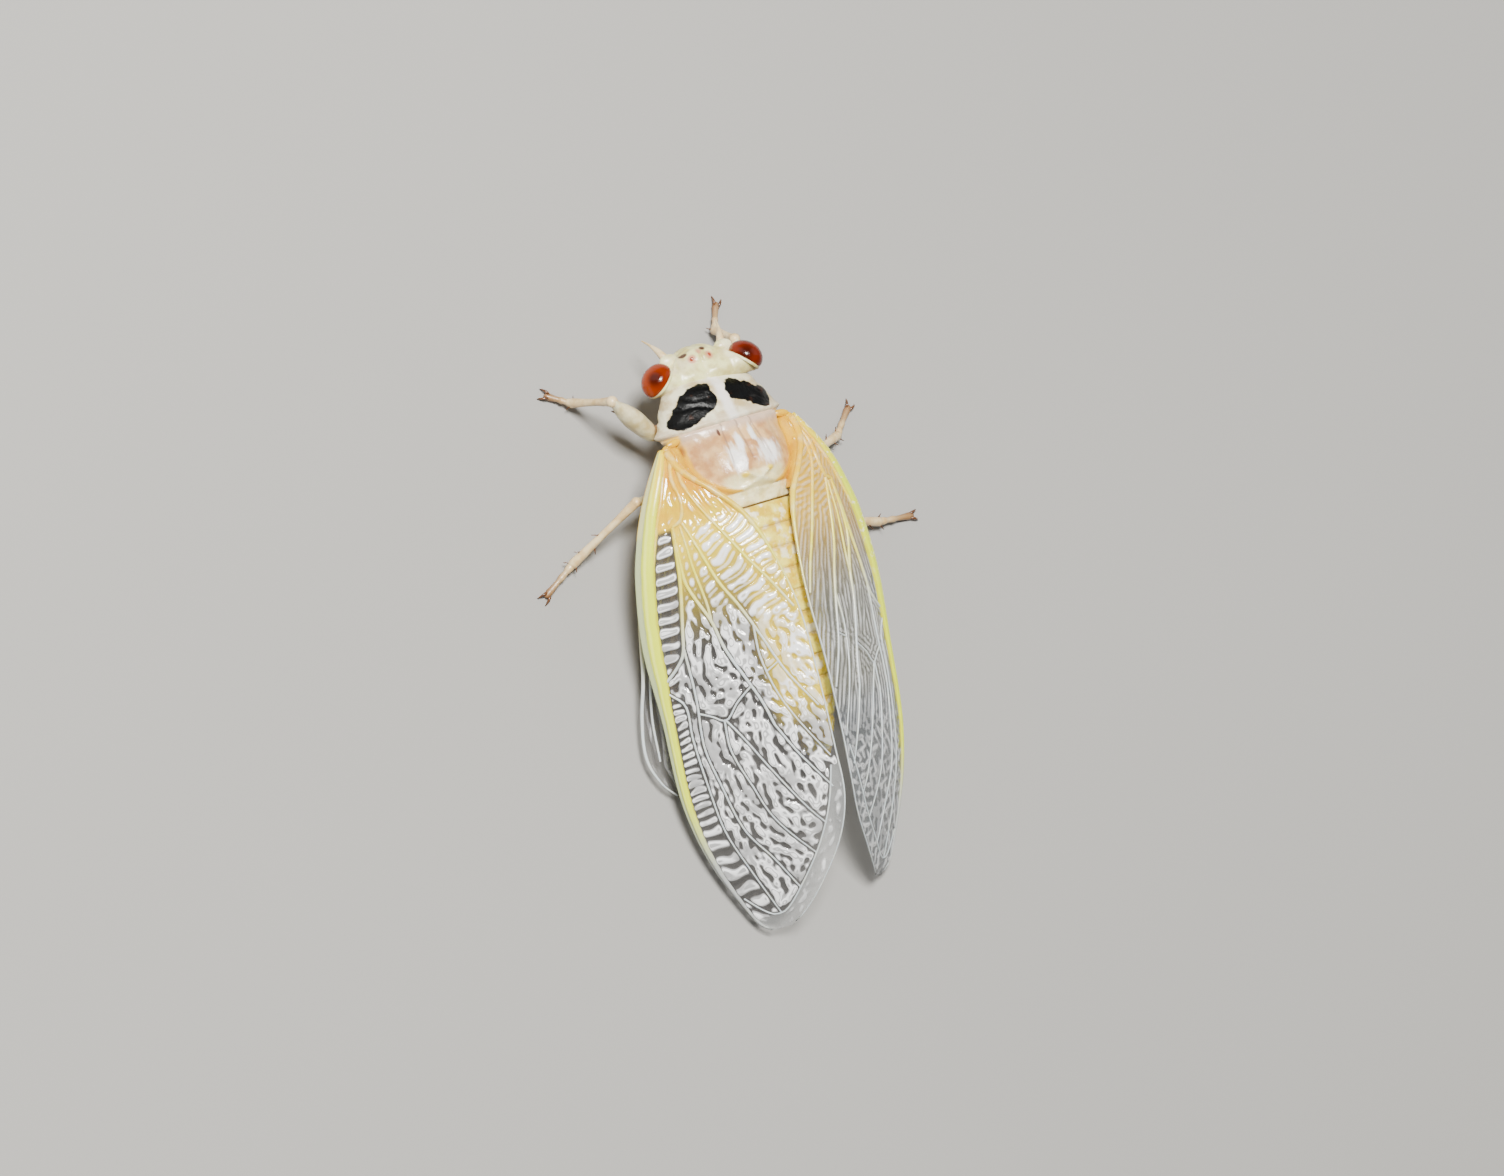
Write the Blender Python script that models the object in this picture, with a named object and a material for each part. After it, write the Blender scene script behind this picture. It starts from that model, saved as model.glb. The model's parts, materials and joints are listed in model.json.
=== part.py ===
"""A freshly moulted periodical cicada at life size, standing on its six feet with its wings closed like a roof.

Every length below is in millimetres, in the insect's own directions: x runs to its left, back runs from
the line through its eyes towards its tail, and z is the height above the floor. MM turns them to metres.
In the frame the insect's left is +X, its head points to -Y, and the floor is z = 0.
"""

import math

import bmesh
import bpy
from mathutils import Matrix, Vector
from mathutils.geometry import delaunay_2d_cdt

MM = 0.001
GAP = 0.3            # clear space between pieces that touch on the real insect
SHEET = 0.5          # thickness of a wing's membrane

# The middle of the whole insect, feet and wing tips included, which is the frame's origin.
MIDDLE_X = -1.11
MIDDLE_BACK = 15.342

EYE_HEIGHT = 5.8     # height of the line through the eyes
EYE_RADIUS = 1.15
EYE_DEPTH = 0.95     # how far an eye stands out of the head
EYE_OUT = 3.0        # how far each eye's centre is from the middle
EYE_BACK = 0.05
EYE_FACES = Vector((0.68, -0.71, 0.17)).normalized()   # the way the left eye looks
HEAD_ROLL = math.radians(10)   # the head is turned a little on its neck, its crown towards the left
NECK_HEIGHT = 5.4

# The trunk behind the head: back, half width, height of the widest place, top, underside,
# and how full the section is above and below the widest place (2 is an ellipse, 1 is a rhombus).
TRUNK = (
    (1.35, 3.30, 5.35, 7.15, 3.60, 2.1, 1.3),
    (2.10, 3.75, 5.35, 7.45, 3.00, 2.1, 1.2),
    (3.00, 4.15, 5.40, 7.75, 2.60, 2.0, 1.1),
    (3.62, 4.40, 5.45, 7.90, 2.50, 1.9, 1.1),
    (4.40, 3.80, 5.80, 8.10, 2.40, 1.9, 1.6),
    (5.60, 3.80, 5.95, 8.65, 2.20, 1.9, 1.8),
    (6.90, 3.75, 5.90, 9.00, 2.10, 1.9, 1.9),
    (7.80, 3.65, 5.70, 8.75, 2.10, 1.9, 1.9),
    (8.50, 3.60, 5.50, 8.35, 2.10, 1.9, 1.9),
    (9.20, 3.70, 5.30, 8.25, 2.10, 2.0, 2.0),
    (10.5, 3.95, 5.15, 8.40, 2.00, 2.0, 2.0),
    (12.0, 4.05, 5.10, 8.50, 1.85, 2.0, 2.0),
    (14.0, 3.90, 5.05, 8.55, 1.85, 2.0, 2.0),
    (16.0, 3.55, 5.10, 8.45, 2.00, 2.0, 2.0),
    (18.0, 3.10, 5.25, 8.15, 2.35, 2.0, 2.0),
    (20.0, 2.60, 5.50, 7.85, 2.90, 2.0, 2.0),
    (22.0, 2.00, 5.70, 7.40, 3.60, 2.0, 2.0),
    (24.0, 1.25, 5.85, 6.90, 4.50, 2.0, 2.0),
    (25.6, 0.45, 5.85, 6.25, 5.40, 2.0, 2.0),
)
# How far the underside lies behind the back in the same section: the last part of the thorax is longer below.
LEAN = ((1.35, 0.0), (7.0, 0.0), (8.2, -0.45), (9.2, 0.90), (12.5, 0.0), (25.6, 0.0))
PROTHORAX = (1.35, 3.62)
MESOTHORAX = (3.92, 8.05)
METATHORAX = (8.35, 9.05)
TERGITES = (9.35, 10.70, 12.10, 13.50, 14.95, 16.40, 17.80, 19.15, 20.40)   # edges of the abdomen's rings
TAIL_TERGITES = (20.70, 21.90, 23.10, 24.20, 25.60)
TERGITE_STEP = 0.02  # each ring's rear edge stands out by this share over the next ring's front

# The head from its middle to its side: out, front, rear, middle height, rise to the top, fall to the bottom.
HEAD = (
    (0.0, -1.15, 1.02, 5.62, 0.88, 1.70),
    (1.4, -1.12, 1.05, 5.62, 0.92, 1.50),
    (2.4, -0.95, 1.08, 5.60, 1.08, 1.20),
    (3.1, -0.45, 1.08, 5.60, 1.02, 1.00),
    (3.6, 0.15, 1.05, 5.58, 0.70, 0.75),
    (3.85, 0.50, 0.98, 5.58, 0.30, 0.35),
)
HEAD_FULLNESS = 2.7
HEAD_SLOPE = 0.38    # rise of the crown for each millimetre back
FACE_CENTRE = (0.0, -0.50, 4.65)
FACE_RADII = (1.70, 1.10, 1.80)
FACE_RIBS = 5
RIB_DEPTH = 0.035
OCELLI = ((0.0, -0.90), (0.55, -0.62), (-0.55, -0.62))   # out, back
ANTENNA = ((1.98, -1.40, 5.10), (2.12, -1.78, 4.85), (2.35, -2.30, 4.35), (2.55, -2.75, 3.65))

# A wing across its length: back, its front edge (out, height over the eyes), its inner edge (the same),
# and how far the sheet bulges outwards between them.
FOREWING = (
    (4.30, 4.90, 0.40, 4.35, 0.80, 0.05),
    (5.90, 6.05, 0.15, 4.15, 1.60, 0.15),
    (7.60, 7.05, -0.10, 2.95, 2.60, 0.30),
    (9.30, 7.75, -0.45, 1.75, 3.05, 0.40),
    (11.6, 8.40, -0.95, 1.00, 3.42, 0.45),
    (15.8, 8.85, -1.85, 0.36, 3.75, 0.45),
    (20.4, 8.60, -2.65, 0.36, 3.55, 0.45),
    (25.1, 8.45, -3.65, 0.36, 2.90, 0.45),
    (28.0, 7.95, -4.15, 0.36, 2.30, 0.40),
    (30.5, 7.15, -4.50, 0.80, 0.95, 0.30),
    (33.0, 6.00, -4.75, 1.90, -1.10, 0.15),
    (34.5, 5.15, -4.80, 2.80, -2.80, 0.05),
    (35.1, 4.40, -4.75, 3.35, -3.90, 0.0),
)
HINDWING = (
    (7.60, 5.00, 0.05, 4.25, 0.65, 0.0),
    (9.50, 6.40, -1.10, 4.40, 0.60, 0.0),
    (12.0, 7.70, -2.15, 4.50, 0.40, 0.0),
    (15.0, 8.30, -2.90, 4.15, 0.35, -0.05),
    (17.5, 8.65, -3.55, 3.80, 0.10, -0.25),
    (20.1, 9.20, -4.35, 3.50, -0.50, -0.50),
    (22.4, 9.50, -4.60, 3.80, -1.50, -0.70),
    (24.2, 8.90, -4.70, 4.90, -2.90, -0.60),
    (25.3, 7.95, -4.80, 6.30, -4.40, -0.10),
)
WING_LEAN = math.radians(28)   # a wing's plan is drawn as seen from this far over to its own side
RIGHT_TIP_SHORT = 0.04         # the right forewing lies this share further forward than the left
RIGHT_TUCK = 0.32              # the right hindwing is drawn in by this share, out of sight under its forewing
RIDGE = 0.22                   # how far a vein stands over the membrane
VEIN = 0.24                    # half the width of a vein at its foot

# Main veins in a wing's plan: each is a few places (back, out), joined by a smooth line.
FOREWING_VEINS = {
    "radius": ((5.0, 4.0), (7.2, 4.8), (8.8, 5.6), (11.3, 6.6), (15.5, 7.8), (18.2, 8.0), (19.8, 8.3)),
    "node": ((18.3, 8.0), (17.5, 6.9), (16.8, 6.3), (15.4, 5.9), (12.6, 5.2), (10.8, 4.9), (9.1, 4.65)),
    "basal": ((5.0, 3.6), (6.4, 3.85), (7.6, 3.65), (8.8, 4.0)),
    "basal_end": ((8.8, 4.0), (9.1, 4.65)),
    "radial_branch": (
        (16.4, 6.15), (19.6, 6.3), (22.7, 6.7), (25.2, 6.4), (28.4, 5.8), (30.7, 4.55), (32.9, 3.55),
    ),
    "outer_branch": (
        (18.9, 7.9), (19.9, 7.1), (22.0, 7.25), (25.2, 7.2), (28.2, 7.0), (31.0, 6.2), (34.1, 5.2),
    ),
    "media": ((9.1, 4.65), (11.4, 4.84), (12.8, 4.85), (15.4, 4.0), (17.2, 3.7), (20.9, 2.45), (22.6, 2.1)),
    "media_rear": ((22.6, 2.1), (24.6, 1.25), (26.2, 0.4), (27.0, -0.1)),
    "media_fork": ((21.5, 4.9), (22.8, 4.2), (25.4, 3.0), (28.1, 1.65), (29.3, 0.85)),
    "media_front": ((21.4, 5.0), (23.4, 5.15), (26.1, 4.45), (27.7, 4.0), (29.1, 3.3), (31.0, 2.0)),
    "cubitus": ((9.0, 4.0), (10.6, 3.56), (13.1, 2.9), (14.9, 2.1), (17.0, 1.35), (19.6, 0.5), (21.6, -0.5)),
    "cubital_fork": ((16.3, 1.6), (18.2, 1.75), (20.6, 1.4), (22.6, 0.7), (24.6, -0.2)),
    "claval": (
        (5.2, 3.4), (6.8, 3.25), (8.1, 2.8), (9.3, 2.25), (10.6, 1.6), (12.2, 0.8), (14.2, -0.3), (15.9, -1.1),
    ),
    "cross_front": ((20.6, 6.45), (21.0, 5.7), (21.5, 4.9)),
    "cross_rear": ((19.9, 2.85), (20.6, 3.9), (21.5, 4.9)),
    "ambient": (
        (26.0, -0.45), (27.8, 0.15), (29.3, 0.85), (31.0, 1.95),
        (32.8, 3.5), (34.0, 4.8), (34.1, 5.6), (33.2, 6.7),
    ),
}
HINDWING_VEINS = {
    "costa": ((8.0, 3.9), (12.0, 7.2), (16.0, 8.3), (20.0, 9.4), (22.8, 9.7)),
    "radius": ((8.2, 3.8), (13.0, 6.6), (17.0, 7.6), (21.0, 8.6), (23.8, 8.7)),
    "media": ((8.2, 3.7), (13.0, 5.5), (17.0, 6.3), (21.0, 7.0), (23.6, 7.2)),
    "cubitus": ((8.2, 3.6), (12.5, 4.5), (16.5, 4.6), (20.5, 5.2), (22.2, 5.6)),
}

# Each leg's end of the hip, knee, ankle and toe, each as (x, back, height).
LEGS = {
    "front_left": ((3.60, 3.15, 3.58), (6.25, 0.50, 4.80), (6.95, -0.30, 0.75), (8.05, -1.05, 0.24)),
    "middle_left": ((2.90, 6.95, 1.60), (6.35, 6.90, 4.15), (10.2, 9.45, 0.75), (12.05, 10.7, 0.24)),
    "hind_left": ((2.70, 9.85, 1.60), (4.90, 12.7, 3.05), (5.90, 18.6, 0.75), (6.40, 21.0, 0.24)),
    "front_right": ((-3.20, 2.30, 3.20), (-4.00, -1.30, 3.60), (-4.35, -2.35, 0.75), (-5.15, -3.75, 0.24)),
    "middle_right": ((-2.90, 6.85, 1.60), (-6.10, 7.30, 3.90), (-10.7, 6.30, 0.75), (-12.2, 4.90, 0.24)),
    "hind_right": ((-2.75, 9.70, 1.60), (-5.90, 11.1, 3.20), (-11.8, 12.4, 0.75), (-14.3, 12.6, 0.24)),
}
# Where each kind of leg leaves the trunk: back, and degrees below the section's widest place.
HIPS = {"front": (2.95, 42), "middle": (6.60, 62), "hind": (8.70, 62)}
# Half thickness of each kind of leg: hip, thigh at its fullest, knee, shin, foot.
LEG_GIRTH = {
    "front": (0.50, 0.78, 0.38, 0.30, 0.26),
    "middle": (0.48, 0.48, 0.34, 0.30, 0.26),
    "hind": (0.50, 0.50, 0.34, 0.30, 0.26),
}
FEMUR_SPINES = (0.30, 0.48, 0.66)   # places of the front thigh's spines, as shares of its length
SPINE_LENGTH = 0.55

COLOURS = {  # linear red, green, blue, and roughness
    "cream": ((0.72, 0.66, 0.42), 0.35),
    "white": ((0.71, 0.64, 0.57), 0.40),
    "rose": ((0.60, 0.45, 0.38), 0.40),
    "yellow": ((0.66, 0.52, 0.20), 0.40),
    "red": ((0.42, 0.035, 0.004), 0.08),
    "membrane": ((0.62, 0.66, 0.60), 0.25),
    "tan": ((0.55, 0.40, 0.22), 0.45),
}


def clear_scene():
    for obj in list(bpy.data.objects):
        bpy.data.objects.remove(obj)


def place(x, back, z):
    """A point of the insect, in millimetres, as a place in the frame, in metres."""
    return Vector((x - MIDDLE_X, back - MIDDLE_BACK, z)) * MM


def head_place(x, back, z):
    """The same for a point of the head, drawn upright and then rolled on the neck."""
    rise = z - NECK_HEIGHT
    across = x * math.cos(HEAD_ROLL) + rise * math.sin(HEAD_ROLL)
    return place(across, back, NECK_HEIGHT + rise * math.cos(HEAD_ROLL) - x * math.sin(HEAD_ROLL))


def smooth_values(stations, back):
    """The values at back on a smooth curve through stations, whose first number is their own back."""
    last = len(stations) - 1
    i = 0
    while i < last - 1 and stations[i + 1][0] < back:
        i += 1
    here, after = stations[i], stations[i + 1]
    before = stations[max(i - 1, 0)]
    beyond = stations[min(i + 2, last)]
    length = after[0] - here[0]
    t = (back - here[0]) / length
    found = []
    for k in range(1, len(here)):
        leaving = (after[k] - before[k]) / (after[0] - before[0]) * length
        arriving = (beyond[k] - here[k]) / (beyond[0] - here[0]) * length
        rise = after[k] - here[k]
        found.append(
            here[k] + leaving * t
            + (3 * rise - 2 * leaving - arriving) * t * t
            + (leaving + arriving - 2 * rise) * t * t * t
        )
    return found


def smooth_line(places, step):
    """Points every step or so along a smooth curve through places, with both ends kept."""
    lengths = [0.0]
    for one, two in zip(places, places[1:]):
        lengths.append(lengths[-1] + (Vector(two) - Vector(one)).length)
    stations = [(length, *one) for length, one in zip(lengths, places)]
    count = max(1, round(lengths[-1] / step))
    return [Vector(smooth_values(stations, lengths[-1] * i / count)) for i in range(count + 1)]


def material_of(name):
    material = bpy.data.materials.get(name) or bpy.data.materials.new(name)
    material.use_nodes = True
    shader = material.node_tree.nodes["Principled BSDF"]
    colour, roughness = COLOURS[name]
    shader.inputs["Base Color"].default_value = (*colour, 1.0)
    shader.inputs["Roughness"].default_value = roughness
    return material


def closed_object(name, points, faces, colour):
    """One closed mesh object from points in the frame, with its faces turned outwards."""
    mesh = bpy.data.meshes.new(name)
    mesh.from_pydata(points, [], faces)
    work = bmesh.new()
    work.from_mesh(mesh)
    bmesh.ops.triangulate(work, faces=work.faces[:])
    bmesh.ops.recalc_face_normals(work, faces=work.faces[:])
    if work.calc_volume(signed=True) < 0:
        bmesh.ops.reverse_faces(work, faces=work.faces[:])
    work.to_mesh(mesh)
    work.free()
    mesh.materials.append(material_of(colour))
    mesh.shade_smooth()
    obj = bpy.data.objects.new(name, mesh)
    bpy.context.scene.collection.objects.link(obj)
    return obj


def loft(name, rings, colour):
    """A closed body through rings of points, all with the same number, with a flat cap at each end."""
    sides = len(rings[0])
    points = [p for ring in rings for p in ring]
    faces = [tuple(reversed(range(sides))), tuple(range(len(points) - sides, len(points)))]
    for r in range(len(rings) - 1):
        for s in range(sides):
            a = r * sides + s
            b = r * sides + (s + 1) % sides
            faces.append((a, b, b + sides, a + sides))
    return closed_object(name, points, faces, colour)


def keep_largest(mesh):
    """Removes every closed surface of a mesh but the one with the largest volume."""
    work = bmesh.new()
    work.from_mesh(mesh)
    left, groups = set(work.faces), []
    while left:
        group, edge = set(), [left.pop()]
        while edge:
            face = edge.pop()
            group.add(face)
            near = {f for e in face.edges for f in e.link_faces}
            edge.extend(near & left)
            left -= near
        groups.append(group)
    size = [abs(sum(f.calc_area() * f.normal.dot(f.calc_center_median()) for f in g)) for g in groups]
    largest = groups[size.index(max(size))]
    bmesh.ops.delete(work, geom=[f for g in groups if g is not largest for f in g], context="FACES")
    bmesh.ops.delete(work, geom=[v for v in work.verts if not v.link_faces], context="VERTS")
    bmesh.ops.triangulate(work, faces=work.faces[:])
    work.to_mesh(mesh)
    work.free()


def combine(obj, others, operation):
    """Joins others to obj, or cuts them from it, in one step, and removes them."""
    tools = bpy.data.collections.new("tools")
    bpy.context.scene.collection.children.link(tools)
    for other in others:
        bpy.context.scene.collection.objects.unlink(other)
        tools.objects.link(other)
    modifier = obj.modifiers.new("combine", "BOOLEAN")
    modifier.operation = operation
    modifier.operand_type = "COLLECTION"
    modifier.collection = tools
    modifier.solver = "MANIFOLD"
    evaluated = obj.evaluated_get(bpy.context.evaluated_depsgraph_get())
    mesh = bpy.data.meshes.new_from_object(evaluated)
    obj.modifiers.clear()
    obj.data = mesh
    mesh.name = obj.name
    for other in list(tools.objects):
        bpy.data.objects.remove(other)
    bpy.data.collections.remove(tools)
    keep_largest(mesh)
    return obj


def ball(name, centre, radii, colour, around=14, rows=9, turn=Matrix.Identity(3), shape=None, put=place):
    """An ellipsoid; shape may change a point of the unit ball before it is stretched."""
    points = [Vector((0, 0, 1))]
    for row in range(1, rows):
        tilt = math.pi * row / rows
        for i in range(around):
            turned = 2 * math.pi * i / around
            flat = Vector((math.cos(turned), math.sin(turned), 0)) * math.sin(tilt)
            points.append(flat + Vector((0, 0, math.cos(tilt))))
    points.append(Vector((0, 0, -1)))
    faces = []
    for i in range(around):
        after = (i + 1) % around
        faces.append((0, 1 + i, 1 + after))
        for row in range(rows - 2):
            low = 1 + row * around
            faces.append((low + i, low + around + i, low + around + after, low + after))
        low = 1 + (rows - 2) * around
        faces.append((low + i, len(points) - 1, low + after))
    found = []
    for p in points:
        q = shape(p) if shape else p
        q = turn @ Vector((q.x * radii[0], q.y * radii[1], q.z * radii[2]))
        found.append(put(centre[0] + q.x, centre[1] + q.y, centre[2] + q.z))
    return closed_object(name, found, faces, colour)


def limb(name, path, radii, colour, sides=8, flat=1.0, floor=None, cuts=(None, None), put=place):
    """A tube along path, a list of places, with a radius at each; flat thins it across its widest way.

    A cut is a place and a direction: the tube's end is carried along its own line to that plane.
    """
    rings = []
    count = len(path)
    for i, (middle, radius) in enumerate(zip(path, radii)):
        middle = Vector(middle)
        along = Vector(path[min(i + 1, count - 1)]) - Vector(path[max(i - 1, 0)])
        along.normalize()
        side = along.cross(Vector((0, 0, 1)))
        side = side.normalized() if side.length > 0.05 else Vector((1, 0, 0))
        rise = side.cross(along)
        ring = []
        cut = cuts[0] if i == 0 else cuts[1] if i == count - 1 else None
        for s in range(sides):
            angle = 2 * math.pi * (s + 0.5) / sides
            p = middle + side * (radius * flat * math.cos(angle)) + rise * (radius * math.sin(angle))
            if cut:
                p += along * ((cut[0] - p).dot(cut[1]) / along.dot(cut[1]))
            if floor is not None:
                p.z = max(p.z, floor)
            ring.append(put(*p))
        rings.append(ring)
    return loft(name, rings, colour)


def power(value, exponent):
    return math.copysign(abs(value) ** exponent, value)


def trunk_ring(back, swell=1.0, sides=28, relief=None):
    """One section of the trunk; swell stretches it, and relief(x share, height share) raises its skin."""
    wide, middle, top, low, above, below = smooth_values(TRUNK, back)
    lean = smooth_values(LEAN, back)[0]
    ring = []
    for s in range(sides):
        angle = 2 * math.pi * s / sides
        full = above if math.sin(angle) >= 0 else below
        reach = (top if math.sin(angle) >= 0 else low) - middle
        across = power(math.cos(angle), 2 / full)
        up = abs(math.sin(angle)) ** (2 / full)
        grow = swell + (relief(across, up * (1 if reach > 0 else -1)) if relief else 0.0)
        behind = 0.0 if reach > 0 else lean * up
        ring.append(place(wide * across * grow, back + behind, middle + reach * up * grow))
    return ring


def skin_spot(back, degrees, side):
    """A place on the trunk's skin, so many degrees below the widest place, and the way it faces there."""

    def spot(b, d):
        wide, middle, _, low, _, below = smooth_values(TRUNK, b)
        across, down = (abs(f(math.radians(d))) ** (2 / below) for f in (math.cos, math.sin))
        behind = smooth_values(LEAN, b)[0] * down
        return Vector((side * wide * across, b + behind, middle + (low - middle) * down))

    here = spot(back, degrees)
    facing = (spot(back + 0.1, degrees) - here).cross(spot(back, degrees + 2) - here).normalized()
    return here, facing if facing.x * side > 0 else -facing


def top_height(x, back):
    """Height of the trunk's back at a place."""
    wide, middle, top, _, above, _ = smooth_values(TRUNK, back)
    return middle + (top - middle) * (1 - min(1.0, abs(x) / wide) ** above) ** (1 / above)


def spread(first, last, count):
    return [first + (last - first) * i / count for i in range(count + 1)]


def make_prothorax():
    """The short shield behind the head, with a raised collar along its rear edge and a groove before it."""
    rings = []
    for back in spread(*PROTHORAX, 9):
        def relief(across, up, back=back):
            if up < -0.1:
                return 0.0
            collar = 0.035 * math.exp(-(((back - 3.45) / 0.22) ** 2))
            groove = -0.03 * math.exp(-(((back - 2.95 + 0.9 * abs(across)) / 0.25) ** 2))
            return collar + groove * min(1.0, 3 * abs(across))
        rings.append(trunk_ring(back, relief=relief))
    return loft("prothorax", rings, "white")


def make_mesothorax():
    """The domed middle of the thorax, with two long furrows and the raised cross at its rear."""
    rings = []
    for back in spread(*MESOTHORAX, 12):
        def relief(across, up, back=back):
            if up < 0.2:
                return 0.0
            furrow = math.exp(-(((abs(across) - 0.36) / 0.1) ** 2)) * max(0.0, min(1.0, (6.8 - back) / 1.5))
            return -0.018 * furrow
        rings.append(trunk_ring(back, relief=relief))
    body = loft("mesothorax", rings, "rose")
    arms = []
    for side in (1, -1):
        path = [(side * x, back, top_height(x, back) - 0.02)
                for x, back in ((1.15, 6.95), (0.55, 7.25), (-0.55, 7.65), (-1.1, 7.9))]
        arms.append(limb("arm", path, (0.18, 0.26, 0.26, 0.18), "rose", sides=6))
    return combine(body, arms, "UNION")


def make_metathorax():
    """The last, short part of the thorax, which carries the hind legs."""
    return loft("metathorax", [trunk_ring(back) for back in spread(*METATHORAX, 3)], "cream")


def rings_of_tergites(edges):
    """Sections of the abdomen, each ring a little wider at its rear edge than the next one's front."""
    rings = []
    for front, rear in zip(edges, edges[1:]):
        rings.append(trunk_ring(front + (0.0 if front == edges[0] else 0.06), 1.0 - TERGITE_STEP))
        rings.append(trunk_ring((front + rear) / 2, 1.0))
        rings.append(trunk_ring(rear - 0.06, 1.0 + TERGITE_STEP / 2))
    return rings


def make_abdomen():
    loft("abdomen", rings_of_tergites(TERGITES), "yellow")
    loft("abdomen_tip", rings_of_tergites(TAIL_TERGITES), "yellow")


def head_section(out, sides=20):
    front, rear, middle, rise, fall = smooth_values(HEAD, abs(out))
    centre, half = (front + rear) / 2, (rear - front) / 2
    ring = []
    for s in range(sides):
        angle = 2 * math.pi * s / sides
        run = half * power(math.cos(angle), 2 / HEAD_FULLNESS)
        reach = rise if math.sin(angle) >= 0 else fall
        z = middle + reach * power(math.sin(angle), 2 / HEAD_FULLNESS) + HEAD_SLOPE * run
        ring.append(head_place(out, centre + run, z))
    return ring


def crown_height(out, back):
    """Height of the head's crown at a place."""
    front, rear, middle, rise, _ = smooth_values(HEAD, abs(out))
    centre, half = (front + rear) / 2, (rear - front) / 2
    share = min(1.0, abs(back - centre) / half)
    lift = (1 - share ** HEAD_FULLNESS) ** (1 / HEAD_FULLNESS)
    return middle + rise * lift + HEAD_SLOPE * (back - centre)


def eye_turn(side):
    """Turns the ball's own z to the way an eye looks."""
    looks = Vector((side * EYE_FACES.x, EYE_FACES.y, EYE_FACES.z))
    return looks.to_track_quat("Z", "Y").to_matrix(), looks


def make_head():
    """The broad head with its ribbed, swollen face, brow ledges and ocelli, cut off flat behind each eye."""
    outs = spread(-HEAD[-1][0], HEAD[-1][0], 16)
    head = loft("head", [head_section(out) for out in outs], "cream")

    def ribbed(p):
        swell = 1 + RIB_DEPTH * math.cos(2 * math.pi * FACE_RIBS * (p.z * 0.5 + 0.5)) * min(1.0, 3 * abs(p.x))
        return Vector((p.x * swell, p.y * swell, p.z))

    extras = [
        ball("face", FACE_CENTRE, FACE_RADII, "cream", around=16, rows=15, shape=ribbed, put=head_place),
        ball("lip", (0.0, -0.05, 3.25), (0.75, 0.60, 0.75), "cream", around=10, rows=7, put=head_place),
    ]
    for side in (1, -1):
        extras.append(ball("brow", (side * 1.85, -0.95, 5.60), (0.62, 0.45, 0.30), "cream",
                           around=10, rows=6, put=head_place))
    for out, back in OCELLI:
        extras.append(ball("ocellus", (out, back, crown_height(out, back) - 0.03), (0.17, 0.17, 0.14), "cream",
                           around=8, rows=5, put=head_place))
    combine(head, extras, "UNION")
    cutters = []
    for side in (1, -1):
        turn, looks = eye_turn(side)
        deep = 3.0
        square = ((-1, -1), (1, -1), (1, 1), (-1, 1))
        corners = [turn @ Vector((x * deep, y * deep, z)) for z in (-GAP, deep) for x, y in square]
        points = [head_place(side * EYE_OUT + c.x, EYE_BACK + c.y, EYE_HEIGHT + c.z) for c in corners]
        faces = [(0, 1, 2, 3), (4, 5, 6, 7), (0, 1, 5, 4), (1, 2, 6, 5), (2, 3, 7, 6), (3, 0, 4, 7)]
        cutters.append(closed_object("cut", points, faces, "cream"))
    return head, cutters


def make_eyes():
    """Each eye is a dome a little deeper than half a ball, its flat foot facing the head."""
    for side, name in ((1, "eye_left"), (-1, "eye_right")):
        turn, _ = eye_turn(side)

        def dome(p):
            return Vector((p.x, p.y, max(p.z, 0.0)))

        ball(name, (side * EYE_OUT, EYE_BACK, EYE_HEIGHT), (EYE_RADIUS, EYE_RADIUS, EYE_DEPTH), "red",
             around=18, rows=12, turn=turn, shape=dome, put=head_place)


def make_antennae():
    for side, name in ((1, "antenna_left"), (-1, "antenna_right")):
        path = [(side * out, back, z) for out, back, z in ANTENNA]
        limb(name, path, (0.27, 0.25, 0.16, 0.09), "tan", sides=8, put=head_place)


def make_rostrum():
    """The beak, folded back under the body between the front legs."""
    path = [(0.0, 0.15, 1.88), (0.0, 1.20, 1.88), (0.0, 3.20, 1.88), (0.0, 5.00, 1.66)]
    limb("rostrum", path, (0.34, 0.32, 0.28, 0.20), "tan", sides=8)


class Wing:
    """A wing's sheet: its plan, seen square on from its own side, and its place in space."""

    def __init__(self, stations, side, shorten=0.0, tuck=0.0):
        self.stations, self.side, self.tuck = stations, side, tuck
        self.root, self.tip = stations[0][0], stations[-1][0]
        self.shorten = shorten

    def edges(self, back):
        """The front edge and the inner edge at back, each as (out, height), and the bulge between them."""
        out, low, inner, high, bulge = smooth_values(self.stations, back)
        outer, inner = Vector((out, low)), Vector((inner, high))
        outer.x += (inner.x - outer.x) * self.tuck * (back - self.root) / (self.tip - self.root)
        return outer, inner, bulge

    def plan_edges(self, back):
        """How far out in the plan the front edge and the inner edge are."""
        lean = Vector((math.cos(WING_LEAN), -math.sin(WING_LEAN)))
        outer, inner, _ = self.edges(back)
        return outer.dot(lean), inner.dot(lean)

    def spot(self, back, out):
        """The middle of the sheet at a place of the plan."""
        outer, inner, bulge = self.edges(back)
        far, near = self.plan_edges(back)
        share = (out - near) / (far - near)
        across = outer - inner
        lift = Vector((-across.y, across.x)).normalized() * bulge * 4 * share * (1 - share)
        x, z = inner + across * share + lift
        moved = back - self.shorten * (back - self.root)
        return Vector((self.side * x, moved, EYE_HEIGHT + z))

    def normal(self, back, out):
        """The way the outside of the sheet faces at a place of the plan."""
        step = 0.05
        low, high = max(back - step, self.root), min(back + step, self.tip)
        along = self.spot(high, out) - self.spot(low, out)
        across = self.spot(back, out + step) - self.spot(back, out - step)
        found = along.cross(across).normalized()
        return found if found.z > 0 else -found


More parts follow.
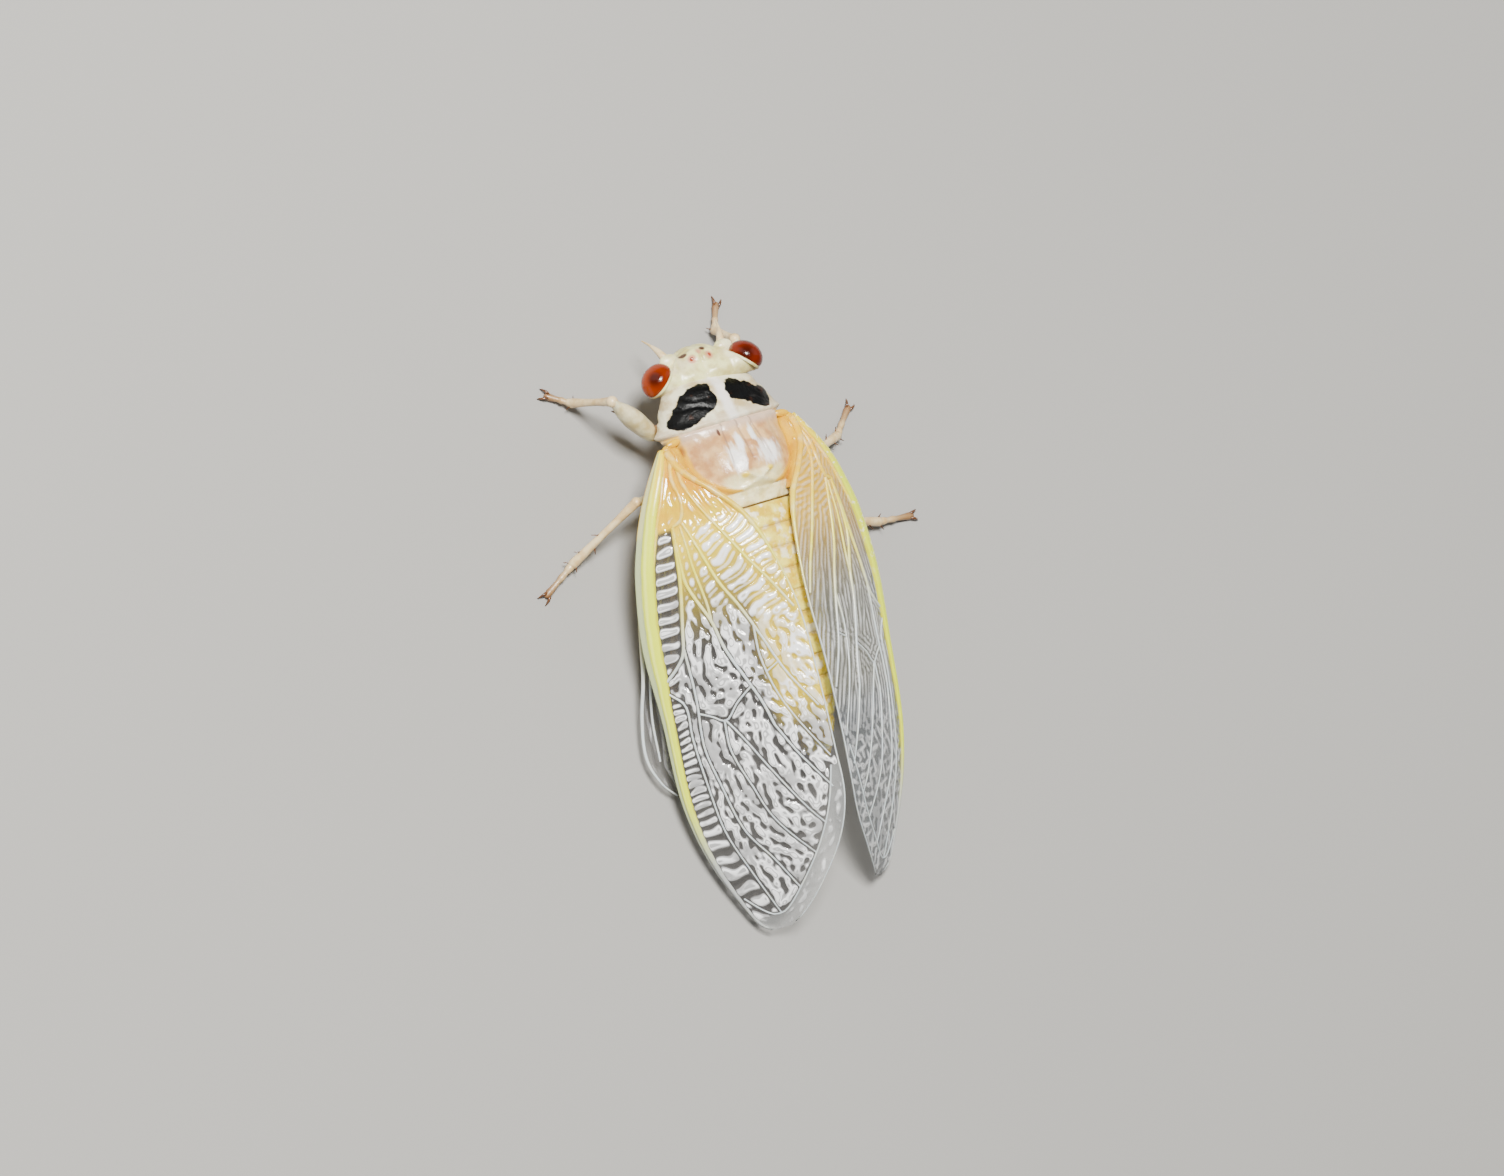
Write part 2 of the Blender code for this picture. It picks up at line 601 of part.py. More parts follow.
def nearest(point, lines):
    """Distance from a point of the plan to the nearest of the lines."""
    best = 1e9
    for line in lines:
        for one, two in zip(line, line[1:]):
            run = two - one
            share = max(0.0, min(1.0, (point - one).dot(run) / run.length_squared))
            best = min(best, (point - one - run * share).length)
    return best


def wing_outline(wing, step):
    """The wing's edge in its plan, as one loop, and its front edge alone."""
    count = round((wing.tip - wing.root) / step)
    backs = spread(wing.root, wing.tip, count)
    front = [Vector((back, wing.plan_edges(back)[0])) for back in backs]
    inner = [Vector((back, wing.plan_edges(back)[1])) for back in reversed(backs)]
    return front + inner, front


def make_wing(name, wing, veins, ridge, fringe, step=1.3, filling=1.5):
    """A curved sheet whose veins are ridges in its own upper face. Both faces have the same triangles."""
    outline, front = wing_outline(wing, step)
    lines = [smooth_line(places, step) for places in veins.values()]
    inset = Vector((0.0, -fringe))
    lines.append([p + inset for p in front[1:-1]])
    points, edges = list(outline), []
    for line in lines:
        strips = [line]
        for way in (1, -1):
            strip = []
            for i, p in enumerate(line):
                run = line[min(i + 1, len(line) - 1)] - line[max(i - 1, 0)]
                strip.append(p + Vector((-run.y, run.x)).normalized() * VEIN * way)
            strips.append(strip)
        for strip in strips:
            first = len(points)
            points.extend(strip)
            edges.extend((first + i, first + i + 1) for i in range(len(strip) - 1))
    rim = outline + [outline[0]]
    for i in range(int((wing.tip - wing.root) / filling)):
        back = wing.root + (i + 0.5) * filling
        far, near = wing.plan_edges(back)
        for j in range(1, int((far - near) / filling) + 1):
            p = Vector((back, near + (j - (0.75 if i % 2 else 0.25)) * filling))
            if nearest(p, lines) > VEIN + 0.35 and nearest(p, [rim]) > 0.5:
                points.append(p)
    loop = list(range(len(outline)))
    made = delaunay_2d_cdt(points, edges, [loop], 1, 0.03)
    flat, faces = made[0], [tuple(f) for f in made[2]]
    upper, lower = [], []
    for p in flat:
        spot, facing = wing.spot(p.x, p.y), wing.normal(p.x, p.y)
        lift = ridge * max(0.0, 1 - nearest(p, lines) / VEIN)
        upper.append(place(*(spot + facing * (SHEET / 2 + lift))))
        lower.append(place(*(spot - facing * (SHEET / 2))))
    count = len(flat)
    used = {}
    for face in faces:
        for one, two in zip(face, face[1:] + face[:1]):
            used[(one, two)] = True
    solid = faces + [tuple(i + count for i in reversed(f)) for f in faces]
    solid += [(two, one, one + count, two + count) for one, two in used if (two, one) not in used]
    return closed_object(name, upper + lower, solid, "membrane")


def make_wings():
    for side, word in ((1, "left"), (-1, "right")):
        short = 0.0 if side > 0 else RIGHT_TIP_SHORT
        fore = Wing(FOREWING, side, shorten=short)
        made = make_wing(f"forewing_{word}", fore, FOREWING_VEINS, RIDGE, 0.42)
        root = ball("root", (side * 4.72, 4.75, EYE_HEIGHT + 0.78), (0.42, 0.85, 0.52), "membrane",
                    around=10, rows=7)
        combine(made, [root], "UNION")
        hind = Wing(HINDWING, side, tuck=0.0 if side > 0 else RIGHT_TUCK)
        made = make_wing(f"hindwing_{word}", hind, HINDWING_VEINS, RIDGE * 0.7, 0.40, step=1.5, filling=1.9)
        root = ball("root", (side * 4.60, 7.95, EYE_HEIGHT + 0.35), (0.38, 0.75, 0.42), "membrane",
                    around=10, rows=7)
        combine(made, [root], "UNION")


def between(one, two, share):
    return Vector(one).lerp(Vector(two), share)


def make_leg(name, joints, girth):
    """A leg in two nodes: hip and thigh, and shin and foot, which meet at the knee."""
    second, knee, ankle, toe = (Vector(j) for j in joints)
    hip_r, thigh_r, knee_r, shin_r, foot_r = girth
    kind = name.split("_")[0]
    skin, facing = skin_spot(*HIPS[kind], 1 if second.x > 0 else -1)
    hip = skin + facing * GAP
    mitre = ((knee - second).normalized() + (ankle - knee).normalized()).normalized()
    near_knee = 1 - 1.7 * knee_r / (knee - second).length
    thigh = [between(second, knee, t) for t in (0.0, 0.10, 0.30, 0.50, 0.68, near_knee, 1.0)]
    radii = [hip_r * 0.75, hip_r * 0.85, thigh_r * 0.95, thigh_r, thigh_r * 0.75, knee_r, knee_r]
    upper = limb(f"leg_{name}_thigh", thigh, radii, "cream", flat=0.8,
                 cuts=(None, (knee - mitre * GAP / 2, mitre)))
    extras = [limb("hip", [hip, between(hip, second, 0.5), second, between(second, knee, 0.07)],
                   (hip_r * 1.1, hip_r * 1.15, hip_r * 0.9, hip_r * 0.6), "cream", cuts=((hip, facing), None))]
    if kind == "front":
        for share in FEMUR_SPINES:
            root = between(second, knee, share)
            down = Vector((0, 0, -1)) + (knee - second).normalized() * 0.5
            down.normalize()
            start, end = root + down * (thigh_r * 0.55), root + down * (thigh_r + SPINE_LENGTH * 0.7)
            extras.append(limb("spine", [start, end], (0.20, 0.07), "tan", sides=6))
    combine(upper, extras, "UNION")
    shin = [between(knee, ankle, t) for t in (0.0, 0.22, 0.5, 0.85, 1.0)]
    lower = limb(f"leg_{name}_shin", shin, (knee_r, shin_r, shin_r * 0.95, shin_r, shin_r), "tan",
                 cuts=((knee + mitre * GAP / 2, mitre), None))
    run = (toe - ankle).normalized()
    foot = [ankle - run * 0.12, between(ankle, toe, 0.35), between(ankle, toe, 0.7), toe]
    foot.append(toe + Vector((run.x, run.y, 0)) * 0.35)
    extras = [limb("foot", foot, (foot_r, foot_r, foot_r * 1.05, foot_r * 1.1, foot_r * 0.7), "tan", floor=0.0)]
    side = Vector((-run.y, run.x, 0)).normalized()
    for way in (1, -1):
        claw = []
        for reach, spread_out, z in ((0.0, 0.10, 0.22), (0.45, 0.24, 0.34), (0.75, 0.34, 0.12)):
            p = toe + run * reach + side * way * spread_out
            claw.append(Vector((p.x, p.y, z)))
        extras.append(limb("claw", claw, (0.17, 0.14, 0.07), "tan", sides=6, floor=0.0))
    combine(lower, extras, "UNION")


def make_legs():
    for name, joints in LEGS.items():
        make_leg(name, joints, LEG_GIRTH[name.split("_")[0]])


def main():
    clear_scene()
    head, cutters = make_head()
    combine(head, cutters, "DIFFERENCE")
    make_eyes()
    make_antennae()
    make_rostrum()
    make_prothorax()
    make_mesothorax()
    make_metathorax()
    make_abdomen()
    make_wings()
    make_legs()


main()
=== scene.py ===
# %% [markdown]
# # A newly moulted periodical cicada
#
# A periodical cicada that has just shed its last skin is cream and pink, with red eyes and two black
# patches on its neck shield. Its wings are still soft, clear and a little crumpled. This lesson models that
# insect at life size, 40 mm from its front feet to its wing tips, around the solids that the frame gives.
#
# The work goes from the outside in: the stage, the measurements, the body's skin, the eyes, the wings,
# and then a material for each surface.

# %% Load the frame
import json
import math
import random

import bmesh
import bpy
import numpy as np
from mathutils import Matrix, Vector
from mathutils.noise import noise as lump_noise

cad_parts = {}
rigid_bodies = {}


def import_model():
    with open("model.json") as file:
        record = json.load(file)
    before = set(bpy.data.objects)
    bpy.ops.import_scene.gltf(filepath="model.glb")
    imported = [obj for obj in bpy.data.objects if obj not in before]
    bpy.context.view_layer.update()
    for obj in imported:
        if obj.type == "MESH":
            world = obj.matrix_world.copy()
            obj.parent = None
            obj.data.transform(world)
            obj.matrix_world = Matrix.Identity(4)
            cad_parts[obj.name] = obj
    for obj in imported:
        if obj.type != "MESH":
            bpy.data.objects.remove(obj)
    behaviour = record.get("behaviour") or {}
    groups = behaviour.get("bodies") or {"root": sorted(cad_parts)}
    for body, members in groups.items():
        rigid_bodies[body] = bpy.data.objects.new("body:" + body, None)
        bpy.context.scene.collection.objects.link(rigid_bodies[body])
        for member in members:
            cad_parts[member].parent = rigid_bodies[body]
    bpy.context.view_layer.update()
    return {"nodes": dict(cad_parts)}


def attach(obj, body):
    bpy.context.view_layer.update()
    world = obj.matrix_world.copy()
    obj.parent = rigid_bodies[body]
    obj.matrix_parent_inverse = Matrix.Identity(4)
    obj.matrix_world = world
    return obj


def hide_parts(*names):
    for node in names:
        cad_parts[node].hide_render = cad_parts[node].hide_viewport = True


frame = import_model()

print("nodes in the frame:", len(frame["nodes"]))

# %% [markdown]
# ## Units and small helpers
#
# Blender counts in metres, and this insect is measured in millimetres. Every place below is written as
# (x, back, z): millimetres to the insect's left, behind the line through its eyes, and above the floor.
# `place` turns such a place into the frame's metres. The head is turned a little on its neck, so its
# places go through `head_place`, which rolls them first.

# %% Units, places and selection
MM = 0.001
MIDDLE_X, MIDDLE_BACK = -1.11, 15.342
HEAD_ROLL, NECK_HEIGHT = math.radians(10), 5.4


def place(x, back, z):
    """A place on the insect, in millimetres, as a point of the frame, in metres."""
    return Vector((x - MIDDLE_X, back - MIDDLE_BACK, z)) * MM


def head_place(x, back, z):
    """The same for a place on the head, given as if the head were straight."""
    rise = z - NECK_HEIGHT
    across = x * math.cos(HEAD_ROLL) + rise * math.sin(HEAD_ROLL)
    return place(across, back, NECK_HEIGHT + rise * math.cos(HEAD_ROLL) - x * math.sin(HEAD_ROLL))


def deselect():
    """An operator acts on all that is selected, so each step starts from nothing."""
    if bpy.context.object and bpy.context.object.mode != "OBJECT":
        bpy.ops.object.mode_set(mode="OBJECT")
    bpy.ops.object.select_all(action="DESELECT")


def select(*objects):
    deselect()
    for obj in objects:
        obj.select_set(True)
    bpy.context.view_layer.objects.active = objects[0]
    return objects[0]


def apply_modifier(obj, kind, **settings):
    """Adds a modifier, sets it, and applies it at once."""
    select(obj)
    modifier = obj.modifiers.new(kind.title(), kind)
    for key, value in settings.items():
        setattr(modifier, key, value)
    bpy.ops.object.modifier_apply(modifier=modifier.name)


def spread(first, last, count):
    """Even steps from first to last, with both kept."""
    return [first + (last - first) * i / count for i in range(count + 1)]


def smooth_values(stations, at):
    """The values at a place on a smooth curve through stations, whose first number is their own place."""
    last = len(stations) - 1
    i = 0
    while i < last - 1 and stations[i + 1][0] < at:
        i += 1
    here, after = stations[i], stations[i + 1]
    before, beyond = stations[max(i - 1, 0)], stations[min(i + 2, last)]
    length = after[0] - here[0]
    t = (at - here[0]) / length
    found = []
    for k in range(1, len(here)):
        leaving = (after[k] - before[k]) / (after[0] - before[0]) * length
        arriving = (beyond[k] - here[k]) / (beyond[0] - here[0]) * length
        rise = after[k] - here[k]
        found.append(here[k] + leaving * t + (3 * rise - 2 * leaving - arriving) * t * t
                     + (leaving + arriving - 2 * rise) * t * t * t)
    return found


def smooth_line(places, step):
    """Points every step or so along a smooth curve through places, with both ends kept."""
    lengths = [0.0]
    for one, two in zip(places, places[1:]):
        lengths.append(lengths[-1] + (Vector(two) - Vector(one)).length)
    stations = [(length, *one) for length, one in zip(lengths, places)]
    count = max(1, round(lengths[-1] / step))
    return [Vector(smooth_values(stations, lengths[-1] * i / count)) for i in range(count + 1)]


def bump(value, centre, width):
    """A smooth hill of height 1 at centre."""
    return math.exp(-(((value - centre) / width) ** 2))


# %% [markdown]
# ## Stage, light and camera
#
# The photograph was taken at night with a flash just above and to the right of the lens, so the insect's
# glossy parts carry small, hard glints. A small lamp beside the camera gives those, and two broad soft
# lamps with a pale surround keep the shadows open, as in a studio. The camera looks down on the insect's
# left side from 28 degrees off the vertical, turned so that the wings point down and to the right.

# %% Floor
deselect()
bpy.ops.mesh.primitive_plane_add(size=3.0, location=(0, 0, 0))
floor = bpy.context.object
floor.name = "floor"
print("floor:", round(floor.dimensions.x, 1), "m wide")

# %% Camera
VIEW_TILT = math.radians(28)
TURN_ALONG, TURN_DOWN = 0.292, 0.956
VIEW_DISTANCE, VIEW_WIDTH, FILM_WIDTH = 0.30, 0.094, 36.0
across = Vector((-math.cos(VIEW_TILT), 0, math.sin(VIEW_TILT)))
to_tail = Vector((0, 1, 0))
toward = Vector((math.sin(VIEW_TILT), 0, math.cos(VIEW_TILT)))
right = TURN_DOWN * across + TURN_ALONG * to_tail
up = TURN_ALONG * across - TURN_DOWN * to_tail
look_at = place(0.93, 14.1, 5.31)
view_axes = Matrix((right, up, toward)).transposed().to_4x4()

deselect()
bpy.ops.object.camera_add()
camera = bpy.context.object
camera.name = "camera"
camera.matrix_world = Matrix.Translation(look_at + toward * VIEW_DISTANCE) @ view_axes
camera.data.sensor_width = FILM_WIDTH
camera.data.lens = FILM_WIDTH * VIEW_DISTANCE / VIEW_WIDTH
camera.data.clip_start = 0.01
bpy.context.scene.camera = camera
print("lens:", round(camera.data.lens, 1), "mm")

# %% Lamps
WARM_WHITE, COOL_WHITE = (1.0, 0.99, 0.96), (0.93, 0.96, 1.0)
# each lamp's direction from the insect, its distance and size in metres, its watts and its colour
LAMPS = {
    "flash": (toward + right * 0.16 + up * 0.34, 0.40, 0.095, 4.2, WARM_WHITE),
    "soft_key": (toward * 0.9 - right * 0.75 + up * 0.9, 0.70, 0.55, 1.05, WARM_WHITE),
    "soft_fill": (Vector((-0.9, -0.3, 0.7)), 0.80, 0.60, 0.75, COOL_WHITE),
}
for name, (direction, distance, size, watts, colour) in LAMPS.items():
    deselect()
    bpy.ops.object.light_add(type="AREA")
    lamp = bpy.context.object
    lamp.name = name
    lamp.data.size, lamp.data.energy, lamp.data.color = size, watts, colour
    direction = direction.normalized()
    turned = direction.to_track_quat("Z", "Y").to_matrix().to_4x4()
    lamp.matrix_world = Matrix.Translation(look_at + direction * distance) @ turned
print("lamps:", ", ".join(LAMPS))

# %% Surround
surround = bpy.data.worlds.new("surround")
surround.use_nodes = True
surround.node_tree.nodes["Background"].inputs["Color"].default_value = (0.80, 0.82, 0.85, 1.0)
surround.node_tree.nodes["Background"].inputs["Strength"].default_value = 0.19
bpy.context.scene.world = surround

# %% [markdown]
# ## Measurements
#
# These are the same named sizes as the solids have, so that the skin lies where they are: sections along
# the trunk, sections of the head from its middle to its side, the wings' edges, and each leg's joints.

# %% Trunk measurements
# back, half width, height of the widest place, top, underside, fullness above and below
TRUNK = (
    (0.70, 2.85, 5.30, 6.50, 4.20, 2.1, 1.3), (1.35, 3.30, 5.35, 7.15, 3.60, 2.1, 1.3),
    (2.10, 3.75, 5.35, 7.45, 3.00, 2.1, 1.2),
    (3.00, 4.15, 5.40, 7.75, 2.60, 2.0, 1.1), (3.62, 4.40, 5.45, 7.90, 2.50, 1.9, 1.1),
    (4.40, 3.80, 5.80, 8.10, 2.40, 1.9, 1.6), (5.60, 3.80, 5.95, 8.65, 2.20, 1.9, 1.8),
    (6.90, 3.75, 5.90, 9.00, 2.10, 1.9, 1.9), (7.80, 3.65, 5.70, 8.75, 2.10, 1.9, 1.9),
    (8.50, 3.60, 5.50, 8.35, 2.10, 1.9, 1.9), (9.20, 3.70, 5.30, 8.25, 2.10, 2.0, 2.0),
    (10.5, 3.95, 5.15, 8.40, 2.00, 2.0, 2.0), (12.0, 4.05, 5.10, 8.50, 1.85, 2.0, 2.0),
    (14.0, 3.90, 5.05, 8.55, 1.85, 2.0, 2.0), (16.0, 3.55, 5.10, 8.45, 2.00, 2.0, 2.0),
    (18.0, 3.10, 5.25, 8.15, 2.35, 2.0, 2.0), (20.0, 2.60, 5.50, 7.85, 2.90, 2.0, 2.0),
    (22.0, 2.00, 5.70, 7.40, 3.60, 2.0, 2.0), (24.0, 1.25, 5.85, 6.90, 4.50, 2.0, 2.0),
    (25.6, 0.45, 5.85, 6.25, 5.40, 2.0, 2.0),
)
# how far each section of the underside leans back
LEAN = ((0.70, 0.0), (1.35, 0.0), (7.0, 0.0), (8.2, -0.45), (9.2, 0.90), (12.5, 0.0), (25.6, 0.0))
NECK, TAIL = 0.70, 25.6
PRONOTUM_REAR, DOME_REAR, THORAX_REAR = 3.77, 8.20, 9.20
RING_EDGES = (9.20, 10.70, 12.10, 13.50, 14.95, 16.40, 17.80, 19.15, 20.55, 21.90, 23.10, 24.20, 25.6)
print("trunk:", round(TAIL - NECK, 1), "mm long, with", len(RING_EDGES) - 1, "rings")

# %% Head and leg measurements
# out, front, rear, middle height, rise to the top, fall to the bottom
HEAD = (
    (0.0, -1.15, 1.02, 5.62, 0.88, 1.70), (1.4, -1.12, 1.05, 5.62, 0.92, 1.50),
    (2.4, -0.95, 1.08, 5.60, 1.08, 1.20), (3.1, -0.45, 1.08, 5.60, 1.02, 1.00),
    (3.6, 0.15, 1.05, 5.58, 0.70, 0.75), (3.85, 0.50, 0.98, 5.58, 0.30, 0.35),
)
HEAD_FULLNESS, HEAD_SLOPE = 2.7, 0.38
OCELLI = ((0.0, -0.90), (0.55, -0.62), (-0.55, -0.62))
OCELLUS_RADII = (0.17, 0.16, 0.13)
EYE_OUT, EYE_BACK, EYE_HEIGHT = 3.0, 0.05, 5.8
EYE_RADIUS, EYE_DEPTH, SOCKET_DEPTH = 1.15, 0.95, 0.30
SOCKET_RIM, SOCKET_RIM_THICKNESS = 1.03, 0.10
EYE_FACES = Vector((0.68, -0.71, 0.17)).normalized()

# end of the hip, knee, ankle and toe, each as (x, back, height)
LEGS = {
    "front_left": ((3.60, 3.15, 3.58), (6.25, 0.50, 4.80), (6.95, -0.30, 0.75), (8.05, -1.05, 0.24)),
    "middle_left": ((2.90, 6.95, 1.60), (6.35, 6.90, 4.15), (10.2, 9.45, 0.75), (12.05, 10.7, 0.24)),
    "hind_left": ((2.70, 9.85, 1.60), (4.90, 12.7, 3.05), (5.90, 18.6, 0.75), (6.40, 21.0, 0.24)),
    "front_right": ((-3.20, 2.30, 3.20), (-4.00, -1.30, 3.60), (-4.35, -2.35, 0.75), (-5.15, -3.75, 0.24)),
    "middle_right": ((-2.90, 6.85, 1.60), (-6.10, 7.30, 3.90), (-10.7, 6.30, 0.75), (-12.2, 4.90, 0.24)),
    "hind_right": ((-2.75, 9.70, 1.60), (-5.90, 11.1, 3.20), (-11.8, 12.4, 0.75), (-14.3, 12.6, 0.24)),
}
# where each hip sits: back, and degrees below the trunk's widest place
HIPS = {"front": (2.95, 42), "middle": (6.60, 62), "hind": (8.70, 62)}
# radius of the hip, thigh, knee, shin and foot
LEG_GIRTH = {
    "front": (0.50, 0.78, 0.38, 0.30, 0.26),
    "middle": (0.48, 0.48, 0.34, 0.30, 0.26),
    "hind": (0.50, 0.50, 0.34, 0.30, 0.26),
}
print("legs:", len(LEGS), "small eyes:", len(OCELLI))

# %% [markdown]
# ## How a long body is drawn out
#
# A trunk, a leg and a beak are all a round section that changes along a line. Lathe work would need them
# round and straight, and sculpting would lose the measurements. So a circle is added and filled, then its
# face is extruded once for every further section, and each new ring of vertices is pulled to its place.

# %% Drawing out a body from a circle
def drawn_out(name, rings):
    """A closed body through rings of points, extruded ring by ring from one filled circle."""
    deselect()
    bpy.ops.mesh.primitive_circle_add(vertices=len(rings[0]), radius=MM, fill_type="NGON")
    obj = bpy.context.object
    obj.name = name
    bpy.ops.object.mode_set(mode="EDIT")
    bpy.ops.mesh.select_mode(type="FACE")
    bpy.ops.mesh.select_all(action="SELECT")
    work = bmesh.from_edit_mesh(obj.data)
    ring = list(work.verts)
    for vertex, point in zip(ring, rings[0]):
        vertex.co = point
    for points in rings[1:]:
        places = [tuple(vertex.co) for vertex in ring]
        bpy.ops.mesh.extrude_region_move()
        work = bmesh.from_edit_mesh(obj.data)
        found = {tuple(vertex.co): vertex for vertex in work.verts if vertex.select}
        ring = [found[p] for p in places]
        for vertex, point in zip(ring, points):
            vertex.co = point
    bmesh.update_edit_mesh(obj.data)
    bpy.ops.mesh.select_all(action="SELECT")
    bpy.ops.mesh.normals_make_consistent(inside=False)
    bpy.ops.object.mode_set(mode="OBJECT")
    return obj


def tube_rings(path, radii, sides=14, flat=1.0, floor_height=None, put=place):
    """Round sections square to a path; flat thins them across their widest way."""
    rings = []
    for i, (middle, radius) in enumerate(zip(path, radii)):
        middle = Vector(middle)
        along = Vector(path[min(i + 1, len(path) - 1)]) - Vector(path[max(i - 1, 0)])
        along.normalize()
        side = along.cross(Vector((0, 0, 1)))
        side = side.normalized() if side.length > 0.05 else Vector((1, 0, 0))
        rise = side.cross(along)
        ring = []
        for s in range(sides):
            angle = 2 * math.pi * (s + 0.5) / sides
            p = middle + side * (radius * flat * math.cos(angle)) + rise * (radius * math.sin(angle))
            if floor_height is not None:
                p.z = max(p.z, floor_height)
            ring.append(put(*p))
        rings.append(ring)
    return rings


def limb(name, path, radii, step=0.18, **settings):
    """A tube whose path and radius run smoothly through the places given, with rounded ends."""
    both = smooth_line([(*p, r) for p, r in zip(path, radii)], step)
    points = [p.to_3d() for p in both]
    sizes = [max(p[3], 0.02) for p in both]
    start = points[0] - (points[1] - points[0]).normalized() * sizes[0] * 0.5
    end = points[-1] + (points[-1] - points[-2]).normalized() * sizes[-1] * 0.5
    points = [start] + points + [end]
    sizes = [sizes[0] * 0.55] + sizes + [sizes[-1] * 0.55]
    return drawn_out(name, tube_rings(points, sizes, **settings))


def ball(name, centre, radii, segments=24, rings=16, turn=Matrix.Identity(3), shape=None, put=place):
    """A ball stretched to three radii, turned, and set on its place; shape may change a unit point first."""
    deselect()
    bpy.ops.mesh.primitive_uv_sphere_add(segments=segments, ring_count=rings, radius=1.0)
    obj = bpy.context.object
    obj.name = name
    for vertex in obj.data.vertices:
        unit = shape(vertex.co.copy()) if shape else vertex.co
        p = turn @ Vector((unit.x * radii[0], unit.y * radii[1], unit.z * radii[2]))
        vertex.co = put(centre[0] + p.x, centre[1] + p.y, centre[2] + p.z)
    return obj


# %% [markdown]
# ## The trunk
#
# Behind the head come the neck shield with its raised rear collar, the high dome that carries the wings,
# a short last ring of the thorax, and the abdomen of overlapping rings. On the real insect these are
# plates of one skin that fold in at each joint. So they are drawn out as one body here, and the joints
# are creases pressed into it: a narrow crease between two plates, a step where one ring overlaps the next.

# %% Shape helpers
def power(value, exponent):
    return math.copysign(abs(value) ** exponent, value)


def limited(value):
    """A value held between 0 and 1."""
    return min(1.0, max(0.0, value))


def off_line(x, back, one, two):
    """How far a place seen from above is from a line between two others, and how far along it that is."""
    run = Vector(two) - Vector(one)
    offset = Vector((x, back)) - Vector(one)
    share = limited(offset.dot(run) / run.dot(run))
    return (offset - run * share).length, share


# %% [markdown]
# The grooves and swellings of each plate are soft and many. A brush in sculpt mode could raise them, but
# then no one could say where they are. So each plate has a relief: a sum of smooth hills and hollows, each
# with its place on the plate in millimetres, that is added to the height of the skin as it is drawn out.

# %% Relief of the dome


# the rim of the dome on its left side, seen from above, as (x, back)
RIM_LINE = ((3.30, 3.90), (3.55, 4.97), (3.55, 5.97), (3.27, 6.77), (2.77, 7.42), (1.86, 8.04), (1.30, 8.25))


def rim_distance(x, back):
    """How far a place of the dome is from the rim that runs round its side and rear."""
    return min(off_line(abs(x), back, one, two)[0] for one, two in zip(RIM_LINE, RIM_LINE[1:]))


def dome_relief(across, up, back):
    """Height added to the middle plate's back: its furrows, its side lobes, and the cross behind."""
    if up < 0.05:
        return 0.0
    x = abs(across * 3.75)
    fade = limited((7.1 - back) / 1.0) * limited((back - 3.9) / 0.4)
    furrows = -0.11 * bump(x, 0.0, 0.10) * fade
    furrows -= 0.13 * bump(x, 1.05 + 0.13 * (back - 4.0), 0.11) * fade
    furrows -= 0.07 * bump(x, 2.55, 0.12) * fade * limited(6.4 - back)
    lobes = 0.07 * bump(x, 0.55, 0.40) * fade + 0.10 * bump(x, 1.95, 0.60) * bump(back, 5.6, 1.4)
    front, along = off_line(x, back, (0.0, 7.72), (1.02, 7.18))
    rear, behind = off_line(x, back, (0.0, 7.72), (1.35, 8.10))
    front_arm = 0.26 * bump(front, 0.0, 0.15) * (1 - 0.35 * along)
    rear_arm = 0.22 * bump(rear, 0.0, 0.14) * (1 - 0.4 * behind)
    hub = 0.10 * bump(x, 0.0, 0.45) * bump(back, 7.70, 0.30)
    hollow = -0.16 * bump(x, 0.95, 0.26) * bump(back, 7.66, 0.20)
    hollow -= 0.12 * bump(x, 0.0, 0.40) * bump(back, 7.15, 0.22)
    wide = smooth_values(TRUNK, back)[0]
    rim = 0.11 * bump(rim_distance(across * wide, back), 0.0, 0.14) if x > 1.0 else 0.0
    lumps = 0.03 * lump_noise(Vector((across * 5.0, back * 1.3, 7.0)))
    return furrows + lobes + max(front_arm, rear_arm) + hub + hollow + rim + lumps


# %% Relief of the shield, flanks and last rings
def shield_relief(across, up, back):
    """Height added to the neck shield: the collar along its rear, bent grooves before it, and soft lumps."""
    if up < -0.1:
        return 0.0
    x = abs(across)
    collar = 0.13 * bump(back, 3.50, 0.18)
    bend = 0.12 * math.sin(across * 9 + 0.6)
    slant = -0.09 * bump(back, 2.95 - 1.05 * x + bend, 0.14) * min(1.0, 2.5 * x)
    second = -0.06 * bump(back, 2.25 - 0.80 * x - bend, 0.15) * min(1.0, 2.5 * max(0.0, x - 0.25))
    middle = -0.05 * bump(across, 0.0, 0.03) * (1 - bump(back, 3.42, 0.3))
    lumps = 0.055 * lump_noise(Vector((across * 6.0, back * 1.9, 3.0))) * (1 - bump(back, 3.50, 0.25))
    return collar + slant + second + middle + lumps


def flank_relief(up, back):
    """Height added to the sides below the wings: the plates that carry the legs, and the belly's fold."""
    if up > 0.20:
        return 0.0
    amount = min(1.0, (0.20 - up) * 5)
    if back > THORAX_REAR + 0.1:
        return -0.10 * bump(up, -0.38, 0.05) * amount
    fold = -0.12 * bump(back, 5.35 + 0.9 * up, 0.11) - 0.12 * bump(back, 6.95 + 0.6 * up, 0.11)
    seam = -0.30 - 0.05 * math.sin(back * 2)
    fold -= 0.10 * bump(back, 2.55 + 0.5 * up, 0.11) + 0.08 * bump(up, seam, 0.05)
    swell = 0.12 * bump(back, 4.55, 0.45) * bump(up, -0.45, 0.30)
    swell += 0.14 * bump(back, 6.15, 0.50) * bump(up, -0.5, 0.3)
    swell += 0.12 * bump(back, 7.75, 0.40) * bump(up, -0.45, 0.30)
    return (fold + swell) * amount


def crease_depth(back):
    """How far the skin folds in at the joints between the plates."""
    depth = 0.13 * bump(back, PRONOTUM_REAR, 0.07)
    depth += 0.04 * bump(back, DOME_REAR, 0.10) + 0.15 * bump(back, THORAX_REAR, 0.06)
    return depth


